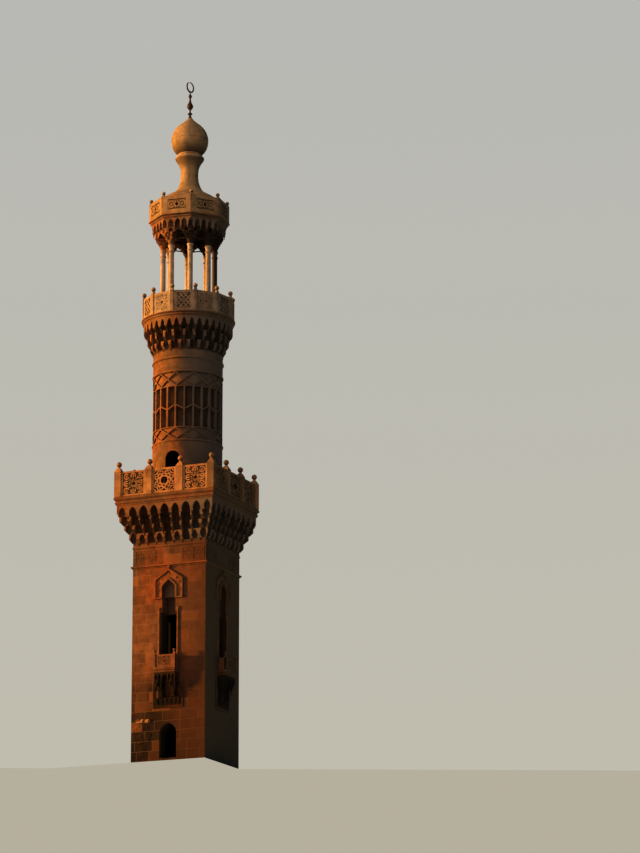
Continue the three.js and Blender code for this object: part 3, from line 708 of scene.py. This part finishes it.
# Main parapet: on each side a corner post and two more, and three panels, the middle one pierced
mainRail = {"half": 2.74, "post": 0.36, "foot": 13.3, "rail": 14.57, "recess": 0.05, "thickness": 0.2,
            "sunk": 0.07, "field": (0.56, 0.54), "band": 0.038}
m = mainRail
postMiddle = m["half"] - m["post"] / 2
bay = 2 * postMiddle / 3
panelHalf = (bay - m["post"]) / 2 + 0.02
panelPlace = (panelHalf, m["foot"], m["rail"], -m["half"] + m["recess"], m["sunk"], m["thickness"])
sidePanel = carvedPanel(scrollWork(*m["field"]), m["field"], *panelPlace)
middlePanel = carvedPanel(starWork(*m["field"], 0.33, m["band"]), m["field"], *panelPlace)
post = balustradePost(m["post"], m["foot"], m["rail"], 14.78, 0.09, 14.98, 0.14)
for name, azimuth in quarters.items():
    posts = [{"x": -postMiddle + k * bay, "y": -postMiddle, "azimuth": azimuth} for k in range(3)]
    parts = [repeated(sidePanel, [{"x": x, "azimuth": azimuth} for x in (-bay, bay)]),
             repeated(middlePanel, facing([azimuth])), repeated(post, posts)]
    out, wide = m["half"] - m["recess"], m["field"][0]
    middleGround = inFields([azimuth], out, [(0, wide)])
    sideGrounds = inFields([azimuth], out, [(-bay, wide), (bay, wide)])
    # the right side is pale stone in painted shade; the sunk ground of the panels takes painted shade,
    # darkest in the middle one
    finish = "soiled" if name == "right" else "pale"
    finished(joined(*parts), f"mainParapet{name.title()}", finish, [f"main_parapet_{name}"],
             other="crusted soiled", where=lambda spot: middleGround(spot) + 2 * sideGrounds(spot))

# Round storey: the wall with the doorway, the relief, and the plain neck with its moulding
drum = {"r": 1.77, "well": 1.1, "foot": 13.3, "wallTop": 16.14, "reliefTop": 19.84,
        "doorHalf": 0.405, "doorFoot": 13.2, "doorSpring": 15.255}


def drumRing(profile, sides=96):
    return turned(profile, sides, well=drum["well"])


doorHalf = drum["doorHalf"]
doorArch = [(-doorHalf, drum["doorFoot"]), (doorHalf, drum["doorFoot"])]
for a in range(0, 181, 15):
    doorArch.append((doorHalf * math.cos(rad(a)), drum["doorSpring"] + doorHalf * math.sin(rad(a))))
doorWall = drumRing([(drum["r"], drum["foot"]), (drum["r"], drum["wallTop"])])
# painted shade in the doorway's reveals
finished(carved(doorWall, plate([doorArch], -2.1, -0.5)), "drumDoorWall", "drum", ["drum_door_wall"],
         other="sooty", where=sheltered(roundReach, drum["r"], 0.03))
neckRing = [(1.77, 19.84), (1.77, 20.43), (1.80, 20.45), (1.825, 20.48), (1.825, 20.52), (1.79, 20.55),
            (1.77, 20.57), (1.77, 20.9)]
finished(drumRing(neckRing), "drumNeck", "drum", ["drum_neck"])

# The relief is one fretted sheet, drawn flat for 30 degrees and then wrapped round the drum
relief = {"core": 1.6, "shallow": 1.695, "face": 1.77, "ribHalf": 1.35, "azimuth": 4.5,
          "lattice": [(16.25, 16.85), (19.03, 19.73)],      # foot and top of each row of diamonds
          "ribs": (16.89, 18.99), "zigzag": 17.92, "swing": 0.12, "bar": 0.032}
r = relief
metresPerDegree = drum["r"] * math.pi / 180
holes, rightEdge = [], [(15, drum["wallTop"])]
for low, high in r["lattice"]:
    step = (high - low) / 2
    slack = 15 * r["bar"] / step
    rightEdge += [(15, low), (slack, low), (15, low + step - r["bar"])]
    rightEdge += [(15, high - step + r["bar"]), (slack, high), (15, high)]
    holes.append(diamond(0, low + step, 15 - slack, step - r["bar"]))
rightEdge.append((15, drum["reliefTop"]))
inner, outer = r["ribHalf"], 15 - r["ribHalf"]


def zigzagAt(x):
    return r["zigzag"] + r["swing"] * (1 - 2 * x / 15)


low, high = r["ribs"]
for way in (1, -1):
    lower = [(inner, low), (outer, low), (outer, zigzagAt(outer) - r["bar"]),
             (inner, zigzagAt(inner) - r["bar"])]
    upper = [(inner, zigzagAt(inner) + r["bar"]), (outer, zigzagAt(outer) + r["bar"]),
             (outer, high), (inner, high)]
    holes += [[(way * x, z) for x, z in lower], [(way * x, z) for x, z in upper]]
sheetOutline = rightEdge + [(-x, z) for x, z in reversed(rightEdge)]
flat = [[(x * metresPerDegree, z) for x, z in hole] for hole in [sheetOutline, *holes]]
sheet = plate(flat, -r["face"], -r["core"] + 0.02)
edit(sheet)
for k in range(-5, 6):        # cut lines, so that the sheet can bend
    bpy.ops.mesh.select_all(action="SELECT")
    bpy.ops.mesh.bisect(plane_co=(k * 2.5 * metresPerDegree, 0, 0), plane_no=(1, 0, 0))
bpy.ops.mesh.select_all(action="DESELECT")
bpy.ops.object.mode_set(mode="OBJECT")
for polygon in sheet.data.polygons:       # the ends that meet the next copy's
    polygon.select = abs(polygon.normal.x) > 0.99 and abs(polygon.center.x) > 14.9 * metresPerDegree
bpy.ops.object.mode_set(mode="EDIT")
bpy.ops.mesh.delete(type="FACE")
bpy.ops.object.mode_set(mode="OBJECT")
for point in sheet.data.vertices:
    angle, reach = point.co.x / drum["r"], -point.co.y
    point.co = (reach * math.sin(angle), -reach * math.cos(angle), point.co.z)
reliefSheet = cleanUp(repeated(sheet, facing(around(12, r["azimuth"]))), 0.0005)
core = drumRing([(r["shallow"], 16.14), (r["shallow"], 16.86), (r["core"], 16.88), (r["core"], 19.0),
                 (r["shallow"], 19.02), (r["shallow"], 19.84)])
lowRing = drumRing([(1.765, 16.14), (1.80, 16.15), (1.81, 16.18), (1.81, 16.21), (1.78, 16.235),
                    (1.765, 16.25)])
highRing = drumRing([(1.765, 19.73), (1.78, 19.745), (1.81, 19.77), (1.81, 19.8), (1.80, 19.83),
                     (1.765, 19.84)])
# the relief's deep ground takes painted shade
finished(joined(reliefSheet, core, lowRing, highRing), "drumRelief", "carved", ["drum_relief"],
         other="crusted", where=sheltered(roundReach, relief["face"], 0.1))

# Upper corbelling: three round tiers, with more and smaller cells as they rise
upperCorbel = [
    {"r": 1.93, "foot": 21.0, "top": 21.38, "count": 24, "azimuth": 4,
     "even": (0.2, 0.3, 21.65), "odd": (0.165, 0.2, 21.5)},
    {"r": 2.09, "foot": 21.38, "top": 21.88, "count": 24, "azimuth": 11.5,
     "even": (0.225, 0.42, 22.3), "odd": (0.2, 0.32, 22.1)},
    {"r": 2.27, "foot": 21.88, "top": 22.55, "count": 36, "azimuth": 0,
     "even": (0.165, 0.4, 22.3), "odd": (0.165, 0.34, 22.24), "arch": (0.105, 0.24, 22.06, 22.45)},
]
below = drum["r"]
for i, t in enumerate(upperCorbel):
    rise = [] if i else [(below, neckRing[-1][1])]
    rise += [(below, t["foot"]), (below + 0.03, t["foot"]), (t["r"], t["foot"] + 0.18), (t["r"], t["top"])]
    step = 360 / t["count"]
    cells = []
    for k in range(t["count"]):
        halfWidth, depth, head = t["odd"] if k % 2 else t["even"]
        azimuth = t["azimuth"] + k * step
        cells.append(cellAt(0, t["r"], halfWidth, depth, t["foot"] - 0.02, head, azimuth))
    hung = [dropAt(0, below, t["foot"] + 0.01, 0.6, 0.4, azimuth)
            for azimuth in around(t["count"], t["azimuth"] + step / 2)]
    ring = drumRing(rise, 144)
    if "arch" in t:       # a small pointed arch over each cell
        ring = carved(ring, repeated(cellShape, cells))
        halfWidth, depth, foot, head = t["arch"]
        cells = [cellAt(0, t["r"], halfWidth, depth, foot, head, azimuth)
                 for azimuth in around(t["count"], t["azimuth"])]
    # the hollows behind each tier's outside take painted shade
    finished(corbelled(ring, cells, hung), f"upperCorbelTier{i + 1}", "carved",
             [f"upper_corbel_tier_{i + 1}"], other="crusted", where=sheltered(roundReach, t["r"]))
    below = t["r"]

upperSlab = [(0, 22.55), (2.28, 22.55), (2.29, 22.59), (2.34, 22.62), (2.34, 22.66), (2.315, 22.68),
             (2.36, 22.72), (2.395, 22.75), (2.395, 22.785), (2.37, 22.8), (0, 22.8)]
finished(turned(upperSlab, 96), "upperBalconySlab", "dressed", ["upper_balcony_floor"])


def railRing(s):
    # One bay of a many-sided parapet, its panel and its post, set at every side in turn
    apothem = s["r"] * math.cos(math.pi / s["sides"])
    half = s["r"] * math.sin(math.pi / s["sides"]) - s["post"] * 0.3
    step = 360 / s["sides"]
    bays = []
    for j, work in enumerate(s["works"]):
        panel = carvedPanel(work, s["field"], half, s["foot"], s["rail"], -apothem, 0.04, s["thickness"])
        middles = around(s["sides"] // len(s["works"]), s["azimuth"] + step / 2 + j * step)
        bays.append(repeated(panel, facing(middles)))
        bpy.data.objects.remove(panel)
    post = balustradePost(s["post"], s["foot"], s["rail"], s["capTop"], s["capHalf"], s["ballZ"],
                          s["ballR"])
    bays.append(repeated(post, facing(around(s["sides"], s["azimuth"]), y=-s["postR"])))
    bpy.data.objects.remove(post)
    return joined(*bays)


def railGround(s):
    middles = around(s["sides"], s["azimuth"] + 180 / s["sides"])
    return inFields(middles, s["r"] * math.cos(math.pi / s["sides"]), [(0, s["field"][0])])


upperRail = {"sides": 12, "azimuth": 4, "r": 2.35, "thickness": 0.11, "foot": 22.8, "rail": 23.87,
             "postR": 2.285, "post": 0.16, "capTop": 23.98, "capHalf": 0.05, "ballZ": 24.11, "ballR": 0.12,
             "field": (0.34, 0.4)}
lattice = latticeWork(*upperRail["field"], 0.055)
blindStar = (starWork(*upperRail["field"], 0.22, 0.04)[0], [])
upperRail["works"] = [lattice, blindStar]
# the panels' sunk ground takes painted shade
finished(railRing(upperRail), "upperParapet", "pale", ["upper_parapet"],
         other="dusty", where=railGround(upperRail))

# Pavilion: eight turned columns, each with its plinth, its moulded capital and its stepped block
pavilion = {"azimuth": 28.3, "r": 1.325, "smoke": 26.6}      # painted shade begins at this level
crownCorners = around(8, pavilion["azimuth"])
plinthLine = [(0, 22.8), (0.2, 22.8), (0.2, 22.95), (0.185, 22.98), (0, 22.98)]
shaftLine = [(0, 22.97), (0.185, 22.97), (0.185, 23.02), (0.165, 23.05), (0.15, 23.07), (0.155, 23.1),
             (0.138, 23.14), (0.135, 24.9), (0.13, 26.2), (0.133, 26.23), (0.162, 26.25), (0.162, 26.3),
             (0.13, 26.33), (0.13, 26.42), (0.155, 26.5), (0.17, 26.56), (0.17, 26.6), (0.14, 26.63),
             (0.14, 26.68), (0.175, 26.75), (0.195, 26.79), (0.195, 26.86), (0, 26.86)]
blockLine = [(0, 26.85), (0.2, 26.85), (0.2, 26.88), (0.225, 26.9), (0.225, 26.96), (0.25, 26.98),
             (0.25, 27.02), (0.28, 27.05), (0.32, 27.08), (0.32, 27.24), (0, 27.24)]
columnPiece = joined(turned(plinthLine, 4, 45), turned(shaftLine, 24), turned(blockLine, 4, 45))
for k, place in enumerate(facing(crownCorners, y=-pavilion["r"])):
    # the capitals and blocks above the shade level take painted shade
    finished(repeated(columnPiece, [place]), f"column{k + 1}", "rubbed", [f"column_{k + 1}"],
             other="smoked", where=lambda middle: middle.z > pavilion["smoke"])

# Crown: arches from block to block, a tier of cells under the slab, and the small parapet.
# All are octagons, with radii to the flats.
crownWell = 1.09
crownFaces = around(8, pavilion["azimuth"] + 22.5)


def octagon(profile):
    return turned(profile, 8, pavilion["azimuth"], crownWell)


archLine = [(-0.37, 26.6), (0.37, 26.6), (0.37, 26.96), (0.33, 27.07), (0.25, 27.17), (0.12, 27.27),
            (0, 27.34), (-0.12, 27.27), (-0.25, 27.17), (-0.33, 27.07), (-0.37, 26.96)]
archCut = plate([archLine], -1.9, -0.9)
springLine = [(1.42, 26.86), (1.46, 26.9), (1.5, 27.04), (1.5, 27.16), (1.63, 27.2), (1.63, 27.48)]
spring = carved(octagon(springLine), repeated(archCut, facing(crownFaces)))
cells = [cellAt(x, 1.63, 0.1, 0.16, 27.18, 27.45, a) for a in crownFaces for x in (-0.42, 0.42)]
hung = [dropAt(x, 1.58, 27.21, 0.7, 0.35, a) for a in crownFaces for x in (-0.54, -0.28, 0.28, 0.54)]
# painted shade: near black under the arches and inside, and dark elsewhere but for the side facing the key
# light
finished(corbelled(spring, cells, hung), "arcade", "smoked", ["arcade"],
         other="sooty", where=lambda middle: middle.z < 27.16 or roundReach(middle) < 1.56)
tier = octagon([(1.64, 27.48), (1.77, 27.48), (1.785, 27.5), (1.785, 27.9)])
cells = [cellAt(x, 1.785, 0.145, depth, 27.46, 27.86, a) for a in crownFaces
         for x, depth in ((-0.36, 0.15), (0, 0.22), (0.36, 0.15))]
cells += [cellAt(0, 1.93, 0.14, 0.26, 27.46, 27.86, a) for a in crownCorners]
hung = [dropAt(x, 1.74, 27.48, 0.65, 0.4, a) for a in crownFaces for x in (-0.54, -0.18, 0.18, 0.54)]
# the hollows behind the tier's outside take painted shade
finished(corbelled(tier, cells, hung), "crownCorbelTier", "carved", ["crown_corbel_tier"],
         other="crusted", where=sheltered(roundReach, 1.785, 0.05))
crownSlab = [(0, 27.9), (1.8, 27.9), (1.81, 27.93), (1.86, 27.96), (1.86, 27.99), (1.83, 28.01),
             (1.87, 28.04), (1.94, 28.07), (1.94, 28.11), (1.93, 28.12), (0, 28.12)]
finished(turned(crownSlab, 8, pavilion["azimuth"]), "crownSlab", "dressed", ["crown_floor"])
crownRail = {"sides": 8, "azimuth": pavilion["azimuth"], "r": 2.08, "thickness": 0.1, "foot": 28.12,
             "rail": 29.05, "postR": 1.955, "post": 0.16, "capTop": 29.12, "capHalf": 0.045, "ballZ": 29.23,
             "ballR": 0.1, "field": (0.49, 0.27)}
crownRail["works"] = [twinScroll(*crownRail["field"], 0.085)]
# the panels' sunk ground takes painted shade
finished(railRing(crownRail), "crownParapet", "pale", ["crown_parapet"],
         other="dusty", where=railGround(crownRail))

# Bulb and neck, turned, with the collar between them
neckLine = [(0, 28.12), (1.66, 28.12), (1.66, 29.0), (1.64, 29.15), (1.5, 29.28), (1.34, 29.4),
            (1.2, 29.49), (1.05, 29.58), (0.92, 29.65), (0.8, 29.73), (0.7, 29.83), (0.62, 29.95),
            (0.56, 30.08), (0.51, 30.22), (0.475, 30.36), (0.455, 30.5), (0.447, 30.65), (0.45, 30.8),
            (0.462, 30.94), (0.485, 31.07), (0.52, 31.18), (0.57, 31.29), (0.625, 31.38), (0.68, 31.46),
            (0.72, 31.52), (0.75, 31.57), (0.755, 31.6), (0.74, 31.64), (0.69, 31.67), (0.67, 31.7),
            (0.66, 31.74), (0, 31.74)]
finished(turned(neckLine, 64), "bulbNeck", "pale", ["bulb_neck"], 40)
bulbLine = [(0, 31.74), (0.63, 31.74), (0.645, 31.76), (0.64, 31.8), (0.61, 31.83), (0.66, 31.87),
            (0.74, 31.95), (0.81, 32.04), (0.87, 32.15), (0.915, 32.27), (0.945, 32.4), (0.958, 32.52),
            (0.958, 32.565), (0.948, 32.575), (0.958, 32.585), (0.958, 32.62), (0.95, 32.72),
            (0.925, 32.84), (0.885, 32.96), (0.83, 33.08), (0.76, 33.19), (0.68, 33.29), (0.59, 33.38),
            (0.49, 33.46), (0.39, 33.54), (0.3, 33.62), (0.22, 33.7), (0.16, 33.77), (0.12, 33.83),
            (0, 33.83)]
finished(turned(bulbLine, 64), "bulb", "pale", ["bulb"], 40)

# Finial: knobs on a stem, and a crescent that nearly closes, thickest at its foot
finialLine = [(0, 33.78), (0.1, 33.8), (0.095, 33.86), (0.065, 33.95), (0.045, 33.99), (0.05, 34.0),
              (0.1, 34.03), (0.13, 34.07), (0.1, 34.11), (0.05, 34.14), (0.042, 34.2), (0.045, 34.27),
              (0.085, 34.32), (0.13, 34.38), (0.16, 34.44), (0.166, 34.49), (0.15, 34.55), (0.11, 34.62),
              (0.075, 34.7), (0.055, 34.78), (0.042, 34.9), (0.06, 34.96), (0.088, 35.0), (0.093, 35.04),
              (0.08, 35.09), (0.05, 35.13), (0.03, 35.17), (0.027, 35.29), (0, 35.29)]
crescent = {"r": 0.262, "z": 35.545, "turn": 76, "gap": 12, "bar": 0.044, "tip": 0.024, "steps": 40}
c = crescent
sweep = 360 - 2 * c["gap"]
horn = primitive("circle", vertices=12, radius=c["bar"], location=(c["r"], 0, 0), rotation=(rad(90), 0, 0),
                 fill_type="NGON")
edit(horn)
bpy.ops.mesh.spin(steps=c["steps"], angle=rad(sweep), center=(0, 0, 0), axis=(0, 0, 1))
bpy.ops.object.mode_set(mode="OBJECT")
for point in horn.data.vertices:      # thins the ring towards its two tips
    angle = math.atan2(point.co.y, point.co.x)
    middle = Vector((math.cos(angle), math.sin(angle), 0)) * c["r"]
    share = min(max(math.degrees(angle) % 360 / sweep, 0), 1)
    thin = c["tip"] / c["bar"] + (1 - c["tip"] / c["bar"]) * math.sin(math.pi * share) ** 0.8
    point.co = middle + (point.co - middle) * thin
horn.data.transform(Matrix.Translation((0, 0, c["z"])) @ Matrix.Rotation(rad(90), 4, "X")
                    @ Matrix.Rotation(rad(90 + c["gap"]), 4, "Z"))
finial = joined(turned(finialLine, 24), cleanUp(horn))
finished(moved(finial, azimuth=c["turn"]), "finial", "bronze", ["finial"], 50)
print("upper storeys made")

# Window hoods: a sunk channel between two ridges, with small bosses along it
hood = {"half": 0.775, "foot": 8.05, "shoulder": 9.05, "apex": 9.56, "ridge": 0.075, "proud": 0.085,
        "arch": 0.36, "spring": 8.62, "archTop": 9.01}
keel = [(1, 0), (0.98, 0.14), (0.88, 0.28), (0.7, 0.46), (0.46, 0.67), (0.22, 0.86)]
h = hood


def hoodLine(inset):
    x, shoulder = h["half"] - inset, h["shoulder"] - inset / 2
    return [(-x, h["foot"]), (-x, shoulder), (0, h["apex"] - inset * 1.2), (x, shoulder), (x, h["foot"])]


def keelLine(grow):
    w, rise = h["arch"] + grow, h["archTop"] + grow - h["spring"]
    left = [(-u * w, h["spring"] + v * rise) for u, v in keel]
    right = [(-x, z) for x, z in reversed(left)]
    return [(-w, h["foot"]), *left, (0, h["spring"] + rise), *right, (w, h["foot"])]


def hoop(outline, opening, proud):
    return plate([outline + opening[::-1]], -wallFace - proud, bedded, 0.008)


hoodParts = [hoop(hoodLine(0.02), keelLine(0), 0.02), hoop(hoodLine(0), hoodLine(h["ridge"]), h["proud"]),
             hoop(keelLine(h["ridge"] + 0.01), keelLine(0), h["proud"] - 0.01)]
for x0, x1 in ((-h["half"] + 0.01, -h["arch"] - 0.02), (h["arch"] + 0.02, h["half"] - 0.01)):
    hoodParts.append(stone(x0, x1, bedded - h["proud"], bedded, h["foot"], h["foot"] + 0.075, 0.008))
boss = turned([(0.045, 0), (0.045, 0.02), (0.03, 0.035), (0, 0.035)], 8)
boss.data.transform(Matrix.Rotation(rad(90), 4, "X"))
bossPlaces = [(0, 9.3)]
for way in (-1, 1):
    bossPlaces += [(way * x, z) for x, z in ((0.58, 8.5), (0.57, 8.85), (0.4, 9.08))]
hoodParts.append(repeated(boss, [{"x": x, "y": -2.015, "z": z} for x, z in bossPlaces]))
hoodParts.append(plate([star(0, 9.66, 0.11, 0.05, 4, 90)], -2.09, bedded, 0.005))
tympanum = [(-0.3, 7.4), (0.3, 7.4), (0.3, 7.44), (0.05, 7.7), (0, 7.74), (-0.05, 7.7), (-0.3, 7.44)]
hoodParts.append(plate([tympanum, [(-0.2, 7.45), (0.2, 7.45), (0, 7.64)]], -1.34, -1.29))
hoodPiece = joined(*hoodParts)
for name, azimuth in quarters.items():
    finished(repeated(hoodPiece, facing([azimuth])), f"{name}Hood", "dressed", [f"{name}_window_hood"])

# Window balconies: a corbel of small cells in a moulded frame, the slab, the parapet, and the
# turned shafts of the window's jambs, which wrap the plain ones of the wall
balcony = {"half": 0.595, "out": 2.51, "floor": 4.54, "rail": 5.16, "jamb": 0.51,
           "frameOut": 2.042, "frameTop": 4.27,               # painted shade lies within the bracket's frame
           "groundOut": (2.38, 2.463), "groundZ": (4.6, 5.1)}      # and on the panels' sunk ground
b = balcony
parts = [plate([rectangle(0, 0.81, 2.58, 4.28), rectangle(0, 0.755, 2.635, 4.24)], -2.035, bedded, 0.006),
         plate([rectangle(0, 0.735, 2.655, 4.26), rectangle(0, 0.69, 2.7, 4.22)], -2.025, bedded, 0.005)]
corbelSteps = [  # half-width, depth, foot, top, then its cells as (middle, half-width, depth, head)
    (0.62, 0.08, 2.73, 3.1, [(x, 0.085, 0.07, 3.05) for x in (-0.48, -0.24, 0, 0.24, 0.48)]),
    (0.46, 0.2, 3.1, 3.7, [(0, 0.215, 0.19, 4.6)]),
    (0.54, 0.32, 3.66, 4.0, [(0, 0.205, 0.3, 4.4), (-0.36, 0.1, 0.12, 3.95), (0.36, 0.1, 0.12, 3.95)]),
    (0.57, 0.44, 3.97, 4.29, [(0, 0.14, 0.3, 4.2), (-0.27, 0.08, 0.12, 4.22), (0.27, 0.08, 0.12, 4.22),
                              (-0.46, 0.07, 0.1, 4.2), (0.46, 0.07, 0.1, 4.2)]),
]


# where the balcony takes painted shade
def sootHere(middle):
    reach, (near, far), (low, high) = squareReach(middle), b["groundOut"], b["groundZ"]
    onBracket = middle.z < b["frameTop"] and reach > b["frameOut"]
    return onBracket or low < middle.z < high and near < reach < far


for half, depth, foot, top, hollows in corbelSteps:
    front = wallFace + depth
    cells = [cellAt(x, front, width, sunk, foot - 0.02, head) for x, width, sunk, head in hollows]
    parts.append(carved(stone(-half, half, -front, bedded, foot, top, 0.008), repeated(cellShape, cells)))
drops = [dropAt(way * x, wallFace + out, z, 0.7, length) for way in (-1, 1) for x, out, z, length in (
    (0.25, 0.27, 3.67, 1.3), (0.42, 0.16, 3.67, 0.9), (0.49, 0.27, 3.67, 0.7), (0.17, 0.39, 3.98, 0.6),
    (0.37, 0.39, 3.98, 0.6), (0.53, 0.39, 3.98, 0.6), (0.12, 0.05, 3.1, 0.5), (0.36, 0.05, 3.1, 0.5))]
parts.append(repeated(dropShape, drops))
mouldings = [  # half-width, front, foot, top, edge
    (0.565, 2.47, 4.28, 4.345, 0.012), (0.545, 2.445, 4.34, 4.4, 0.01), (0.58, 2.49, 4.39, 4.46, 0.015),
    (b["half"], b["out"], 4.45, b["floor"], 0.012)]
parts += [stone(-half, half, -out, bedded, foot, top, edge) for half, out, foot, top, edge in mouldings]
panelFoot, field = b["floor"] - 0.005, (0.34, 0.22)
net = starWork(*field, 0.2, 0.028)
parts.append(carvedPanel(net, field, 0.5, panelFoot, b["rail"], -2.475, 0.02, 0.07))
jambLine = [(0, 5.2), (0.078, 5.2), (0.078, 5.28), (0.068, 5.31), (0.072, 5.34), (0.06, 5.38),
            (0.058, 7.34), (0.07, 7.36), (0.07, 7.39), (0.06, 7.41), (0.066, 7.45), (0.078, 7.5),
            (0.078, 7.56), (0, 7.56)]
for way in (-1, 1):
    x0, x1 = sorted((way * 0.5, way * 0.57))
    smallPost = balustradePost(0.12, panelFoot, b["rail"], 5.27, 0.03, 5.36, 0.075)
    parts += [stone(x0, x1, -2.42, -2.06, panelFoot, b["rail"], 0.006),
              moved(smallPost, way * 0.535, -2.445), moved(turned(jambLine, 16), way * b["jamb"], -wallFace)]
balconyPiece = joined(*parts)
for name, azimuth in quarters.items():
    finished(repeated(balconyPiece, facing([azimuth])), f"{name}Balcony", "dressed",
             [f"{name}_window_balcony"], other="sooty", where=sootHere)


# Low on the front's left the facing has fallen: rubble shows, under a broken ledge of mortar
def weathered(name, material, half, high, middle, across, rise):
    sheet = primitive("grid", x_subdivisions=across[0], y_subdivisions=across[1], size=2)
    for point in sheet.data.vertices:
        u, v = point.co.x, point.co.y
        x, z = middle[0] + u * half, middle[1] + v * high
        ragged = noise.noise(Vector((x * 3, 4.2, z * 3))) * 0.5
        ragged += noise.noise(Vector((x * 9, 2.1, z * 9))) * 0.25
        inside = max(0, min(1, (0.9 - u ** 4 - v ** 4 + ragged) * 4))
        point.co = (x, bedded - inside * rise(x, z, v), z)
    edit(sheet)
    bpy.ops.mesh.extrude_region_move(TRANSFORM_OT_translate={"value": (0, 0.04, 0)})
    bpy.ops.object.mode_set(mode="OBJECT")
    finished(cleanUp(sheet), name, material)


def rubble(x, z, v):
    near, nextNear = noise.voronoi(Vector((x * 4, 0, z * 5.5)))[0][:2]
    return 0.02 + 0.012 * min(nextNear - near, 0.3) / 0.3 + 0.016 * noise.noise(Vector((x * 4, 0.3, z * 5)))


def brokenLedge(x, z, v):
    return 0.09 + 0.05 * v + 0.05 * noise.noise(Vector((x * 7, 1.1, z * 7)))


weathered("fallenFacing", "ashlar", 0.5, 0.52, (-1.42, 1.36), (60, 70), rubble)
weathered("brokenLedge", "pale", 0.4, 0.12, (-1.34, 1.98), (50, 20), brokenLedge)
spares = [cellShape, dropShape, panelRow, sidePanel, middlePanel, post, sheet, columnPiece, archCut, boss,
          hoodPiece, balconyPiece]
for spare in spares:
    bpy.data.objects.remove(spare)
print("shaft made")
